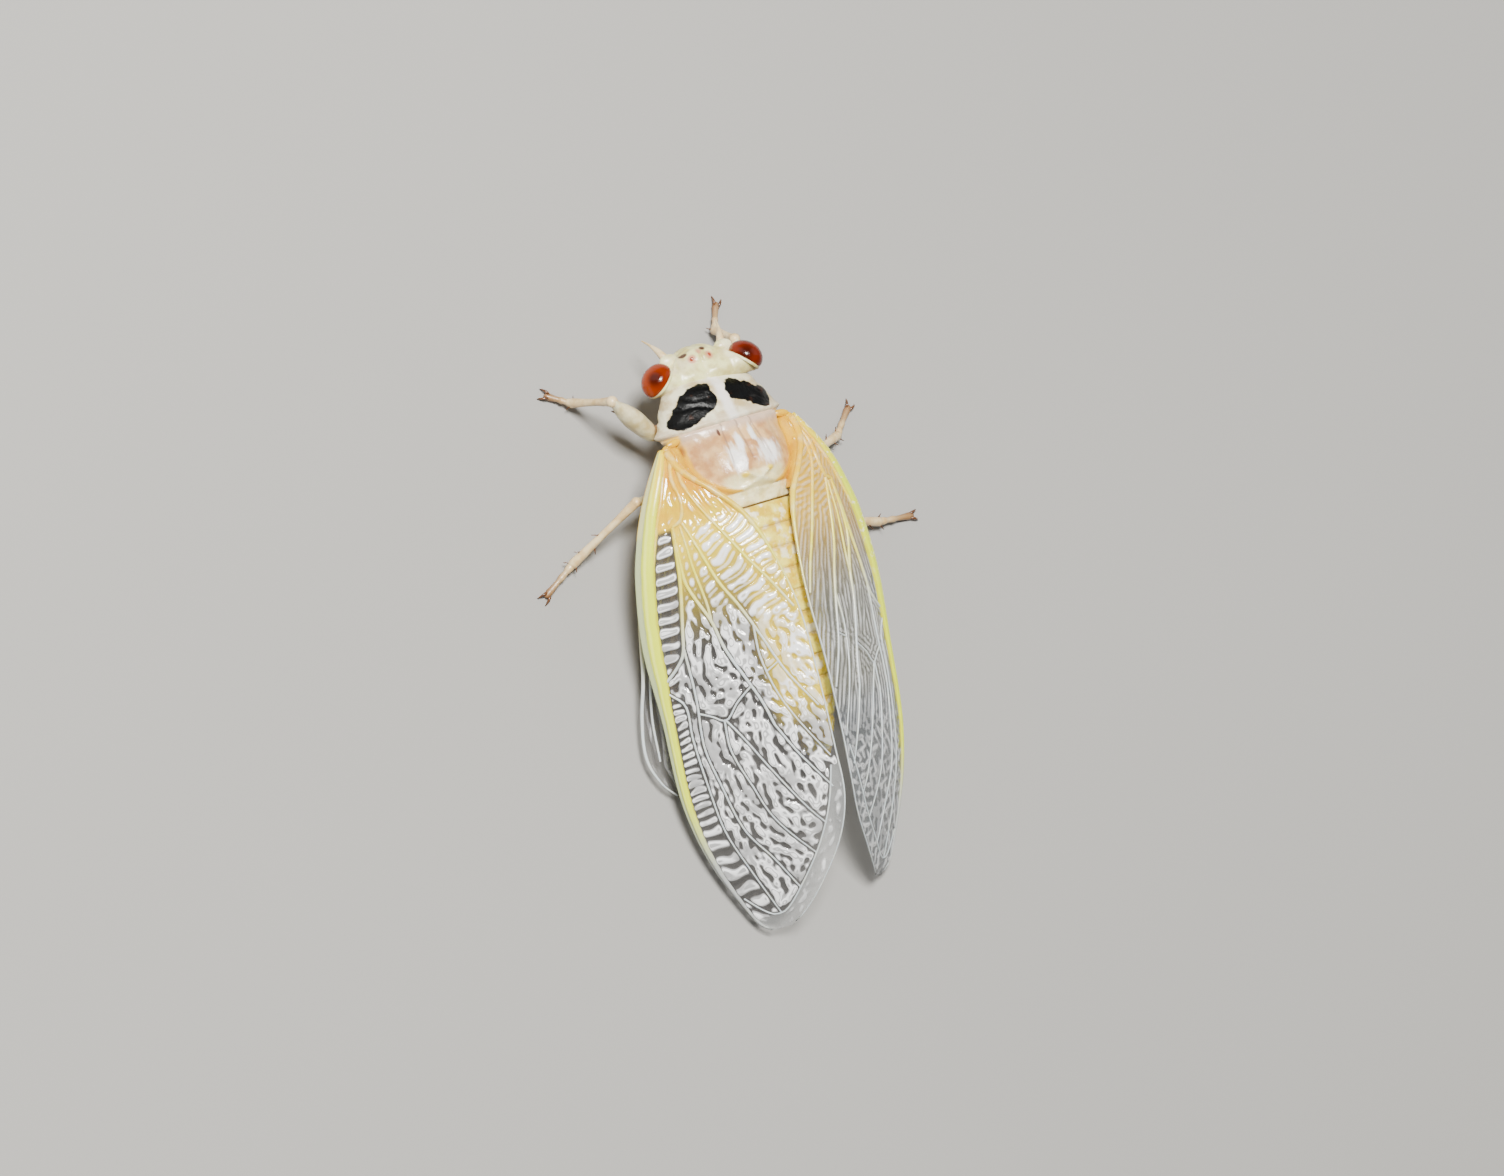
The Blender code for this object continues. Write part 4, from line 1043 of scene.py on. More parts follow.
def wander(u, v, scale, seed):
    """A smooth, irregular field from a few seeded waves, between about -1 and 1."""
    draw = random.Random(seed)
    total = np.zeros_like(u)
    for _ in range(7):
        turn, phase = draw.uniform(0, 2 * math.pi), draw.uniform(0, 2 * math.pi)
        pitch = scale * draw.uniform(0.7, 1.5)
        total += np.sin((u * math.cos(turn) + v * math.sin(turn)) * 2 * math.pi / pitch + phase)
    return total / 3.2


# %% Wing ribs
# the ribs along the edges: back, half width, half thickness
COSTAL_RIB = (
    (4.4, 0.26, 0.26), (6.0, 0.55, 0.32), (9.0, 0.66, 0.32), (14.0, 0.66, 0.30), (17.5, 0.60, 0.28),
    (20.0, 0.43, 0.25), (25.0, 0.36, 0.22), (29.0, 0.25, 0.16), (32.0, 0.18, 0.11), (35.0, 0.10, 0.07),
)
INNER_RIB = (
    (4.5, 0.26, 0.26), (7.0, 0.25, 0.25), (9.6, 0.20, 0.20), (11.6, 0.11, 0.12), (14.0, 0.07, 0.08),
    (25.0, 0.05, 0.06), (34.9, 0.05, 0.05),
)
HIND_RIB = ((7.8, 0.14, 0.14), (14.0, 0.14, 0.14), (21.0, 0.10, 0.10), (25.2, 0.06, 0.06))
HIND_INNER = ((7.8, 0.10, 0.10), (16.0, 0.06, 0.06), (25.2, 0.05, 0.05))
print("forewing's front rib:", 2 * max(rib[1] for rib in COSTAL_RIB), "mm wide at most")

# %% [markdown]
# The puckers of a fresh wing aren't even. Along the front they stand in one row like the rungs of a
# ladder, by the base they are rows of long ovals, and farther out they turn into squiggles. Each kind is a
# pattern of waves in the plan, a number for every place, above 0 on the crests. Seeded waves and wave
# patches give the unevenness, so that each run makes the same wing.

# %% Pucker helpers
def rise(values, first, last):
    """0 before first, 1 after last, for whole arrays, with a smooth rise between."""
    share = np.clip((values - first) / (last - first), 0, 1)
    return share * share * (3 - 2 * share)


def line_at(line, u):
    """How far out a line of the plan lies at each place u along the wing."""
    points = sorted((p.x, p.y) for p in smooth_line(line, 0.3))
    return np.interp(u, [p[0] for p in points], [p[1] for p in points])


def vein_bearing(u, v, lines):
    """The direction of the vein nearest to a place of the plan, as an angle."""
    best, bearing = 1e9, 0.0
    for line in lines:
        for one, two in zip(line, line[1:]):
            run = two - one
            share = min(1.0, max(0.0, (Vector((u, v)) - one).dot(run) / run.dot(run)))
            gap = (one + run * share - Vector((u, v))).length
            if gap < best:
                best, bearing = gap, math.atan2(run.y, run.x)
    return bearing


def streaks(u, v, lines, pitch, jitter, long, wide, seed, turn=math.pi / 2, per_area=9.0):
    """Irregular ripples with a pitch of their own, laid by many short overlapping wave patches.

    Each patch is set at a seeded random place, and its waves follow one another at an angle turn from the
    nearest vein. With little jitter the patches join into long streaks, and with more into squiggles."""
    draw = random.Random(seed)
    total = np.zeros_like(u)
    low_u, high_u, low_v, high_v = u.min(), u.max(), v.min(), v.max()
    for _ in range(int((high_u - low_u) * (high_v - low_v) * per_area)):
        cu, cv = draw.uniform(low_u, high_u), draw.uniform(low_v, high_v)
        bearing = vein_bearing(cu, cv, lines) + draw.gauss(0, jitter)
        phase = draw.uniform(0, 2 * math.pi)
        near = np.nonzero((abs(u - cu) < 2.6 * long) & (abs(v - cv) < 2.6 * long))[0]
        if len(near) == 0:
            continue
        du, dv = u[near] - cu, v[near] - cv
        along = du * math.cos(bearing) + dv * math.sin(bearing)
        beside = dv * math.cos(bearing) - du * math.sin(bearing)
        wave = du * math.cos(bearing + turn) + dv * math.sin(bearing + turn)
        strength = np.exp(-(along / long) ** 2 - (beside / wide) ** 2)
        total[near] += strength * np.cos(2 * math.pi * wave / pitch + phase)
    return total / (total.std() + 1e-9)


# %% Pucker patterns
# lines of the plan: behind the front cell, in front of the outer squiggles, and inside the clear border
NODE_LINE = ((9.1, 4.65), (10.8, 4.9), (12.6, 5.2), (15.4, 5.9), (16.8, 6.3), (17.5, 6.9), (18.3, 8.0))
OUTER_LINE = ((18.9, 7.9), (19.9, 7.1), (22.0, 7.25), (25.2, 7.2), (28.2, 7.0), (31.0, 6.2), (34.1, 5.2))
BORDER_LINE = ((26.0, -0.45), (27.8, 0.15), (29.3, 0.85), (31.0, 1.95), (32.8, 3.5), (34.0, 4.8))
BORDER_START, BORDER_TIP = 26, (34.0, 34.2)


def front_cells(u, v):
    """1 in the long cell behind the front rib, where the puckers stand in one row."""
    return rise(v - line_at(NODE_LINE, u), 0.0, 0.15) * rise(u, 9.0, 9.4) * (1 - rise(u, 17.9, 18.3))


def by_the_base(u, v):
    """1 over the base of the wing, where the puckers are rows of ovals."""
    return 1 - rise(u + 0.45 * v, 15.0, 17.5)


def waves(cycles):
    return np.cos(2 * math.pi * cycles)


def ladder_rungs(u, v, uneven):
    """Rungs along the front, closer together near the middle of the wing than at its tip."""
    table = np.linspace(18, 36, 400)
    steps = np.cumsum(1 / (0.46 + 0.62 * rise(table, 25.5, 29.5))) * (table[1] - table[0])
    return waves(np.interp(u - 0.05 * v, table, steps) + 0.16 * uneven) + 0.50 * uneven + 0.15


def base_ovals(u, v, seed):
    """Rows of long ovals across the base, with thin lines between the rows."""
    slant = (0.90 * u - 0.43 * v) / 0.95 + 0.13 * wander(u, v, 2.5, seed)
    ovals = waves(slant) * 1.2 - 0.25 + 0.40 * wander(u, v, 0.8, seed + 1)
    return np.maximum(ovals, waves(slant * 2 + 0.12) * 0.75 - 0.45)


def glinting_puckers(u, v, lines, seed):
    """The left forewing: rows of ovals by the base, a ladder along the front, squiggles farther out."""
    front = front_cells(u, v)
    uneven = wander(u, v, 1.7, seed + 7)
    row = waves((u - 0.04 * v) / 0.79 + 0.08 * uneven) * 1.35 + 0.22 + 0.35 * uneven
    ladder = rise(v - line_at(OUTER_LINE, u), -0.05, 0.15) * rise(u, 18.9, 19.3)
    base = by_the_base(u, v) * (1 - front)
    squiggles = streaks(u, v, lines, 0.66, 0.48, 0.72, 0.42, seed + 2) * 0.95 + 0.50 + 0.45 * uneven
    squiggles -= 0.95 * np.exp(-((u - 15.2) / 2.0) ** 2 - ((v - line_at(NODE_LINE, u) + 0.85) / 0.65) ** 2)
    made = squiggles * (1 - base) + base_ovals(u, v, seed) * base
    made = made * (1 - front) + row * front
    made = made * (1 - ladder) + ladder_rungs(u, v, uneven) * ladder
    border = np.where(u > BORDER_START, 1 - rise(v - line_at(BORDER_LINE, u), -0.05, 0.15), 0.0)
    border = np.maximum(border, rise(u, *BORDER_TIP))
    bare = 1 - rise(u, 8.7, 10.0) * (1 - 0.72 * border)
    faint = streaks(u, v, lines, 0.5, 0.2, 0.9, 0.3, seed + 5, per_area=4.0) * 0.3 - 0.7
    return made * (1 - bare) + faint * bare


def milky_streaks(u, v, lines, seed):
    """The right forewing: fine streaks along the veins, oblique folds by the base, a net by the tip."""
    fine = streaks(u, v, lines, 0.42, 0.06, 1.60, 0.34, seed, per_area=7.0)
    folds = streaks(u, v, lines, 0.42, 0.08, 0.60, 0.80, seed + 1, turn=math.radians(35), per_area=4.0)
    net = streaks(u, v, lines, 0.75, 0.12, 0.45, 0.60, seed + 2, turn=math.radians(40), per_area=5.0)
    other = streaks(u, v, lines, 0.75, 0.12, 0.45, 0.60, seed + 3, turn=math.radians(-40), per_area=5.0)
    near, far = 1 - rise(u, 9.0, 13.0), rise(u, 23.0, 27.0)
    mid = (fine - 0.15) * (1 - near) * (1 - far)
    return mid + folds * near * 0.8 + (np.maximum(net, other) * 0.9 - 0.45) * far


def plain_folds(u, v, lines, seed):
    """A hind wing: a few shallow folds along its veins."""
    return streaks(u, v, lines, 0.8, 0.15, 1.5, 0.5, seed, per_area=3.0) * 0.6 - 0.3


# %% Laying a film on a wing
FILM = 0.05            # drawn thicker than the real film, which is a few thousandths of a millimetre
TROUGH, PEAK = -1.0, 2.2          # the pattern's limits; the film itself is cut off flat above 1


def film_grid(name, wing, cells_along, cells_across):
    """A fine grid laid on the wing's sheet, and the place of each of its vertices in the plan."""
    deselect()
    bpy.ops.mesh.primitive_grid_add(x_subdivisions=cells_along, y_subdivisions=cells_across, size=2.0)
    obj = bpy.context.object
    obj.name = name
    plan = np.zeros((len(obj.data.vertices), 2))
    for vertex in obj.data.vertices:
        along, share = vertex.co.x * 0.5 + 0.5, vertex.co.y * 0.5 + 0.5
        back = wing.root + (wing.tip - wing.root) * along
        far, near = wing.plan_edges(back)
        plan[vertex.index] = back, near + (far - near) * share
        vertex.co = place(*wing.spot(back, share))
    return obj, plan


def push_out(obj, heights, depth):
    """Moves each vertex along its normal, to the upper side for a height above 0."""
    select(obj)
    bpy.ops.object.mode_set(mode="EDIT")
    bpy.ops.mesh.select_all(action="SELECT")
    bpy.ops.mesh.normals_make_consistent(inside=False)
    bpy.ops.object.mode_set(mode="OBJECT")
    normals = [vertex.normal.copy() for vertex in obj.data.vertices]
    facing = 1 if sum(n.z for n in normals) > 0 else -1
    for vertex, normal, height in zip(obj.data.vertices, normals, heights):
        vertex.co += normal * facing * float(height) * depth * MM


def wing_film(name, wing, veins, pattern, cells_along, cells_across, depth, calm_width, seed):
    """The film, puckered between its veins by a pattern, and calm beside them."""
    obj, plan = film_grid(name, wing, cells_along, cells_across)
    u, v = plan[:, 0], plan[:, 1]
    lines = [smooth_line(line, 0.5) for line, _, _ in veins]
    backs = spread(wing.root, wing.tip, 70)
    edges = [[Vector((back, wing.plan_edges(back)[edge])) for back in backs] for edge in (0, 1)]
    front, near_base, puckered = np.zeros_like(u), np.zeros_like(u), np.ones_like(u)
    if "forewing" in name:
        front, near_base = front_cells(u, v), by_the_base(u, v)
        inside_border = np.where(u > BORDER_START, rise(v - line_at(BORDER_LINE, u), -0.1, 0.1), 0.0)
        border = np.where(u > BORDER_START, 1 - inside_border, 0.0)
        puckered = 1 - np.maximum(border, rise(u, *BORDER_TIP))
    reach = calm_width * (1 + 0.7 * np.maximum(front, near_base))
    calm = rise(distance_to_lines(plan, lines + edges), 0.05, 0.05 + reach)
    if "forewing" in name:
        outer = np.interp(u, backs, [wing.plan_edges(back)[0] for back in backs])
        band = np.interp(u, [rib[0] for rib in COSTAL_RIB], [2 * rib[1] for rib in COSTAL_RIB])
        calm = calm * rise(outer - v - band, -0.05, 0.12)
    crest = np.clip(pattern(u, v, lines, seed), TROUGH, PEAK)
    push_out(obj, np.minimum(crest, 1.0) * calm, depth)
    store(obj, "crest", crest * calm - (1 - calm))
    store(obj, "not_front_cell", 1 - front)
    store(obj, "puckered", puckered)
    apply_modifier(obj, "SOLIDIFY", thickness=FILM * MM, offset=0.0)
    select(obj)
    bpy.ops.object.shade_smooth()
    print(name + ":", len(obj.data.vertices), "vertices")
    return obj


# %% [markdown]
# ## Veins and ribs
#
# The veins are thin round tubes that stand out on both faces of the film. A curve with a round bevel is
# made for that: its points follow the plan, and a radius at each point tapers it. The front rib is wide
# and flat instead, so it is drawn out like the legs, from flattened rings. Short cross veins, finer than
# the solids can carry, brace the film between the long ones.

# %% Vein tubes
def tube_net(name, wing, veins):
    """All the veins of a wing as one curve object with round tubes, turned into a mesh."""
    curve = bpy.data.curves.new(name, "CURVE")
    curve.dimensions, curve.bevel_depth, curve.bevel_resolution = "3D", MM, 2
    curve.use_fill_caps = True
    for line, first, last in veins:
        points = smooth_line(line, 0.35)
        spline = curve.splines.new("POLY")
        spline.points.add(len(points) - 1)
        for i, p in enumerate(points):
            back = min(max(p.x, wing.root + 0.01), wing.tip - 0.01)
            share = i / (len(points) - 1)
            spline.points[i].co = (*place(*wing.plan_spot(back, p.y)), 1.0)
            spline.points[i].radius = first + (last - first) * share
    obj = bpy.data.objects.new(name, curve)
    bpy.context.scene.collection.objects.link(obj)
    select(obj)
    bpy.ops.object.convert(target="MESH")
    bpy.ops.object.shade_smooth()
    return bpy.context.object


# %% Ribs
def rib_section(across):
    """The front rib's thickness over its width: a thin outer hem, a groove, and a thick inner tube."""
    if across > 0.30:
        return 0.32 + 0.16 * bump(across, 0.95, 0.12)
    tube = 0.45 + 0.55 * math.sqrt(max(0.0, 1 - ((across + 0.30) / 0.72) ** 2))
    return tube - 0.12 * bump(across, -0.30, 0.10)


def rib(wing, edge, stations, sides=32, hem=False):
    """A rib along an edge of the wing, through flat ovals: back, half width, half thickness."""
    turns = [2 * math.pi * s / sides for s in range(sides)]
    rings = []
    for back in spread(stations[0][0], stations[-1][0], 110):
        half, thick = smooth_values(stations, back)
        back = min(back, wing.tip - 0.02)
        far, near = wing.plan_edges(back)
        reach = min(half / (far - near), 0.45)
        at, way = (1 - reach, reach) if edge == "front" else (reach, -reach)
        middle, beside = wing.spot(back, at), wing.spot(back, at + way * 0.98)
        ahead = wing.spot(min(back + 0.1, wing.tip), at) - wing.spot(max(back - 0.1, wing.root), at)
        width = beside - middle
        normal = ahead.cross(width).normalized() * thick
        ring = []
        for angle in turns:
            height = rib_section(math.cos(angle)) if hem else 1.0
            ring.append(place(*(middle + width * math.cos(angle) + normal * height * math.sin(angle))))
        rings.append(ring)
    obj = drawn_out("rib", rings)
    store(obj, "across", [math.cos(turns[i % sides]) for i in range(len(obj.data.vertices))])
    select(obj)
    bpy.ops.object.shade_smooth()
    return obj


# %% Wings
def own(piece, name, material, slot, *nodes):
    """Names a finished piece, gives it its finish and ties it to the frame."""
    piece.name = name
    dress(piece, material)
    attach(piece, "root")
    if nodes:
        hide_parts(*nodes)


# pattern, cells along and across, pucker depth, width of the calm zone beside a vein, seed
FILMS = {
    "forewing_left": (glinting_puckers, 320, 128, 0.075, 0.20, 12),
    "forewing_right": (milky_streaks, 300, 120, 0.035, 0.12, 10),
    "hindwing_left": (plain_folds, 150, 46, 0.03, 0.20, 24),
    "hindwing_right": (plain_folds, 150, 46, 0.03, 0.20, 22),
}
# veins, front rib, inner rib, and what the film and the front rib are finished as
WINGS = {
    "forewing": (FOREWING_VEINS, COSTAL_RIB, INNER_RIB, "membrane", "costal_rib"),
    "hindwing": (HINDWING_VEINS, HIND_RIB, HIND_INNER, "hind_membrane", "vein"),
}
for side, word in ((1, "left"), (-1, "right")):
    sheets = {"forewing": Wing(FOREWING, side, shorten=0.0 if side > 0 else RIGHT_TIP_SHORT),
              "hindwing": Wing(HINDWING, side, tuck=0.0 if side > 0 else RIGHT_TUCK)}
    for kind, wing in sheets.items():
        veins, front_rib, inner_rib, film_look, rib_look = WINGS[kind]
        node = f"{kind}_{word}"
        film = wing_film(node + "_film", wing, veins, *FILMS[node])
        own(film, node + "_film", film_look, "wing_membrane", node)
        own(tube_net(node, wing, veins), node + "_veins", "vein", "wing_membrane")
        front = rib(wing, "front", front_rib, hem=kind == "forewing")
        own(front, node + "_front_rib", rib_look, "wing_membrane")
        own(rib(wing, "inner", inner_rib), node + "_inner_rib", "vein", "wing_membrane")

# %% [markdown]
# Where a wing joins the dome, its inner edge runs into a soft orange fold of skin with a few hard plates in
# it. The fold is drawn out along the dome's side, each section reaching from the skin up to the wing's edge,
# and the plates are stretched balls sunk into it.

# %% Wing hinges
def skin_height(back, x):
    """The height of the trunk's upper skin at a distance x from the middle."""
    wide, middle, top, _, above, _ = smooth_values(TRUNK, back)
    return middle + (top - middle) * max(0.0, 1 - (min(abs(x), wide) / wide) ** above) ** (1 / above)


HINGE_FRONT, HINGE_REAR, FOLD_THICKNESS = 3.95, 8.75, 0.24


def hinge_fold(wing, side):
    """The soft fold along the dome's side, from the skin up to the wing's inner edge, narrow at both ends."""
    rings, sides = [], 20
    for back in spread(HINGE_FRONT, HINGE_REAR, 40):
        edge = wing.spot(max(back, wing.root + 0.05), 0.02)
        wide = smooth_values(TRUNK, back)[0]
        foot_x = min(abs(edge.x), wide) - 0.12
        foot = Vector((side * foot_x, back, skin_height(back, foot_x) - 0.16))
        narrow = eased(back, 3.85, 4.5) * (1 - 0.75 * eased(back, 7.6, 8.8))
        middle, width = (edge + foot) / 2, (edge - foot) / 2
        normal = Vector((0, 1, 0)).cross(width).normalized()
        normal *= FOLD_THICKNESS * math.copysign(max(0.2, narrow), normal.z)
        middle += normal * 0.35
        rings.append([place(*(middle + width * (0.35 + 0.65 * narrow) * math.cos(2 * math.pi * s / sides)
                              + normal * math.sin(2 * math.pi * s / sides))) for s in range(sides)])
    return drawn_out("fold", rings)


# place on the left, radii, and turn about the upright
PLATES = (
    ((3.95, 4.12, 6.66), (0.52, 0.24, 0.17), 0.15), ((4.42, 4.48, 6.48), (0.36, 0.36, 0.22), 0.3),
    ((4.62, 4.98, 6.40), (0.30, 0.40, 0.20), 0.1), ((4.28, 5.35, 6.92), (0.20, 0.66, 0.20), -0.25),
    ((4.10, 6.20, 7.30), (0.17, 0.52, 0.17), -0.45),
)
hinges = []
for side in (1, -1):
    hinges.append(hinge_fold(Wing(FOREWING, side), side))
    for centre, radii, tilt in PLATES:
        turn = Matrix.Rotation(tilt * side, 3, "Z")
        hinges.append(ball("plate", (side * centre[0], centre[1], centre[2]), radii, 28, 18, turn=turn))
hinge = joined(hinges, "wing_hinges")
bpy.ops.object.shade_smooth()
own(hinge, "wing_hinges", "hinge", "yellow_cuticle")
print("hinge pieces:", len(hinges))

# %% [markdown]
# ## Materials
#
# Fresh insect skin is chitin that has not yet hardened: waxy, a little see-through, with the low gloss of
# damp wax, and its colours are pigments that show before the brown of hardening. All the skin's finishes
# share that: an IOR of 1.55, some light scattered under the surface, and a roughness near 0.35.
#
# `tint` turns the colours, written in sRGB as a painter would pick them, to Blender's linear values. A
# `Finish` holds one material while it is made. Its `add` is the one helper that adds a node. The table says
# which of Blender's nodes each short word stands for, with its settings and the inputs that the values go to.
# `over` lays a colour over the colours so far, the way that a glaze goes over an undercoat.

# %% Colours and nodes
def tint(code):
    """A colour written as sRGB hex, as linear red, green, blue and alpha."""
    values = [int(code[i:i + 2], 16) / 255 for i in (1, 3, 5)]
    return (*[v / 12.92 if v <= 0.04045 else ((v + 0.055) / 1.055) ** 2.4 for v in values], 1.0)


GRAIN_DEPTH, GRAIN_SIZE = 0.020, 0.09          # the skin's fine grain, in millimetres
PATCH = 0.5          # a noise's patches are about half as wide as its waves

# word: kind of node, the inputs that the values go to in turn, the output that is read, and settings
NODES = {
    "places": ("TexCoord", (), "Object", {}),
    "apart": ("SeparateXYZ", (0,), 0, {}),
    "scaled": ("VectorMath", (0, 1), 0, {"operation": "MULTIPLY"}),
    "moved": ("VectorMath", (0, 1), 0, {"operation": "ADD"}),
    "measured from": ("VectorMath", (0, 1), 0, {"operation": "SUBTRACT"}),
    "counted in": ("VectorMath", (0, 1), 0, {"operation": "DIVIDE"}),
    "length": ("VectorMath", (0,), "Value", {"operation": "LENGTH"}),
    "plus": ("Math", (0, 1), 0, {"operation": "ADD"}),
    "minus": ("Math", (0, 1), 0, {"operation": "SUBTRACT"}),
    "times": ("Math", (0, 1), 0, {"operation": "MULTIPLY"}),
    "more": ("Math", (0, 1), 0, {"operation": "MAXIMUM"}),
    "less": ("Math", (0, 1), 0, {"operation": "MINIMUM"}),
    "unsigned": ("Math", (0,), 0, {"operation": "ABSOLUTE"}),
    # from 0 where the value is at the first number to 1 where it is at the second, with a smooth step
    "fade": ("MapRange", ("Value", "From Min", "From Max"), 0, {"interpolation_type": "SMOOTHSTEP"}),
    "noise": ("TexNoise", ("Vector", "Scale", "Detail"), "Fac", {}),
    "cells": ("TexVoronoi", ("Vector", "Scale"), "Distance", {"feature": "DISTANCE_TO_EDGE"}),
    "stored": ("Attribute", (), "Fac", {}),
    # the first colour, moved towards the second by an amount
    "mix": ("Mix", (0, 6, 7), 2, {"data_type": "RGBA"}),
    "bump": ("Bump", ("Strength", "Distance", "Height"), 0, {}),
}


class Finish:
    """One material in the making: its shader, its points' places on the insect, and its colour so far."""

    def __init__(self, name, **sockets):
        """Sockets given here are the same all over the surface."""
        self.material = materials[name]
        self.shader = self.material.node_tree.nodes["Principled BSDF"]
        for key, value in sockets.items():
            self.shader.inputs[key.replace("_", " ")].default_value = value
        scaled = self.add("scaled", self.add("places"), (1 / MM,) * 3)
        self.places = self.add("moved", scaled, (MIDDLE_X, MIDDLE_BACK, 0))
        self.x, self.back, self.z = self.add("apart", self.places).node.outputs
        self.width = self.add("unsigned", self.x)
        self.colour = None

    def add(self, word, *values, **settings):
        """Adds a node, and gives its output. A value may be an sRGB hex colour or another node's output."""
        kind, inputs, output, usual = NODES[word]
        node = self.material.node_tree.nodes.new("ShaderNode" + kind)
        for key, value in {**usual, **settings}.items():
            setattr(node, key, value)
        for key, value in zip(inputs, values):
            if isinstance(value, bpy.types.NodeSocket):
                self.material.node_tree.links.new(value, node.inputs[key])
            else:
                node.inputs[key].default_value = tint(value) if isinstance(value, str) else value
        return node.outputs[output]

    def send(self, value, socket):
        """Links a value, colour or relief to one of the shader's own sockets."""
        self.material.node_tree.links.new(value, self.shader.inputs[socket])

    def patches(self, size, first, last, detail=3.0):
        """Soft patches about size millimetres across: 1 in them and 0 between them."""
        return self.add("fade", self.add("noise", self.places, PATCH / size, detail), first, last)

    def oval(self, centre, radii, first, last, fray=None):
        """A soft oval: the distance from its centre, counted in radii, faded from first to last."""
        apart = self.add("measured from", self.places, centre)
        away = self.add("length", self.add("counted in", apart, radii))
        return self.add("fade", away if fray is None else self.add("plus", away, fray), first, last)

    def over(self, colour, amount, share=1.0):
        """Lays a colour over the colours so far, by an amount that changes over the surface."""
        amount = amount if share == 1.0 else self.add("times", amount, share)
        self.colour = self.add("mix", amount, self.colour, colour)

    def done(self, depth=GRAIN_DEPTH, size=GRAIN_SIZE):
        """Gives the shader its colour, and the skin's fine pits and swellings, a little coarser than real."""
        self.send(self.colour, "Base Color")
        fine, broad = (self.add("noise", self.places, PATCH / across, detail)
                       for across, detail in ((size, 4.0), (size * 6, 2.0)))
        self.send(self.add("bump", 1.0, depth * MM, self.add("plus", fine, broad)), "Normal")
        print("finish:", self.material.name, "of", len(self.material.node_tree.nodes), "nodes")


# %% [markdown]
# The floor is plain and pale. Its very faint mottling only keeps it from looking like an empty page.

# %% Floor finish
materials["floor"] = bpy.data.materials.new("plain_floor")
materials["floor"].use_nodes = True
paint = Finish("floor", Roughness=0.75)
mottle = paint.add("noise", paint.places, PATCH / 30.0, 3.0)
paint.send(paint.add("mix", mottle, "#9A9894", "#A19F9B"), "Base Color")
floor.data.materials.append(paint.material)
print("floor finish:", paint.material.name)

# %% [markdown]
# The head is cream with a green-yellow cast, with pale patches of painted highlight, and pinker round the
# three small eyes.
# Two brown dashes mark its front edge, and the temples behind the large eyes are darker and brown.

# %% Head cuticle
# What all the skin has in common. The scatter's scale is in metres: light goes about half a millimetre in.
WAXY = {"Roughness": 0.36, "IOR": 1.55, "Subsurface_Weight": 0.08, "Subsurface_Scale": 0.0006,
        "Subsurface_Radius": (1.0, 0.55, 0.3), "Coat_Weight": 0.22, "Coat_Roughness": 0.16}
BROW_DASHES = ((1.02, -1.02, 0.34), (-0.30, -1.12, 0.22))          # out, back, half length


def at_head(out, back, z):
    """A place on the head in the insect's millimetres, for an oval of colour."""
    return head_place(out, back, z) / MM + Vector((MIDDLE_X, MIDDLE_BACK, 0))


paint = Finish("head_cuticle", **WAXY)
paint.colour = paint.add("mix", paint.patches(0.50, 0.38, 0.66, 4.0), "#EBE8A4", "#C2B470")
# pale patches over the cream: painted highlights
paint.over("#F4ECCB", paint.patches(1.1, 0.48, 0.66), 0.6)
for out, back in OCELLI:
    blush = paint.oval(at_head(out, back, crown_height(out, back)), (0.38, 0.38, 0.38), 1.0, 0.5)
    paint.over("#CC7A62", blush, 0.8)
for out, back, wide in BROW_DASHES:
    centre = at_head(out, back, crown_height(out, -0.9) - 0.05)
    paint.over("#4E2F1A", paint.oval(centre, (wide, 0.17, 0.30), 1.15, 0.7))
# darker brown behind each large eye
for side in (1, -1):
    temple = paint.oval(at_head(side * 3.25, 0.95, 5.75), (0.95, 0.50, 1.0), 1.15, 0.5)
    paint.over("#86663A", temple, 0.75)
paint.done()

# %% [markdown]
# The neck shield is cream-white with the two large black patches that every newly moulted periodical
# cicada shows. Their edge is the outline stored on the skin, frayed by noise. The black is as smooth as
# the rest and a little brown where it is thin, so it still shows its grooves.

# %% Shield cuticle
DULL = {**WAXY, "Roughness": 0.34, "Coat_Weight": 0.0, "Specular_IOR_Level": 0.15}
paint = Finish("shield_cuticle", **DULL)
paint.colour = paint.add("mix", paint.patches(0.45, 0.38, 0.66, 4.0), "#E6E0C0", "#BCA678")
paint.over("#E6DAC6", paint.add("fade", paint.back, 2.9, 3.4), 0.4)
paint.over("#F3EEE6", paint.add("fade", paint.width, 0.55, 0.15), 0.8)
paint.over("#B9A27A", paint.add("fade", paint.z, 5.9, 4.8), 0.6)
fray = paint.add("times", paint.add("minus", paint.add("noise", paint.places, PATCH / 0.16, 4.0), 0.5), 0.30)
black = paint.add("fade", paint.add("plus", paint.add("stored", attribute_name="patch"), fray), -0.03, 0.05)
soot = paint.add("mix", paint.add("times", paint.patches(0.35, 0.60, 0.70, 4.0), 0.6), "#060606", "#3A2013")
paint.over(soot, black)
paint.done(0.045, 0.12)
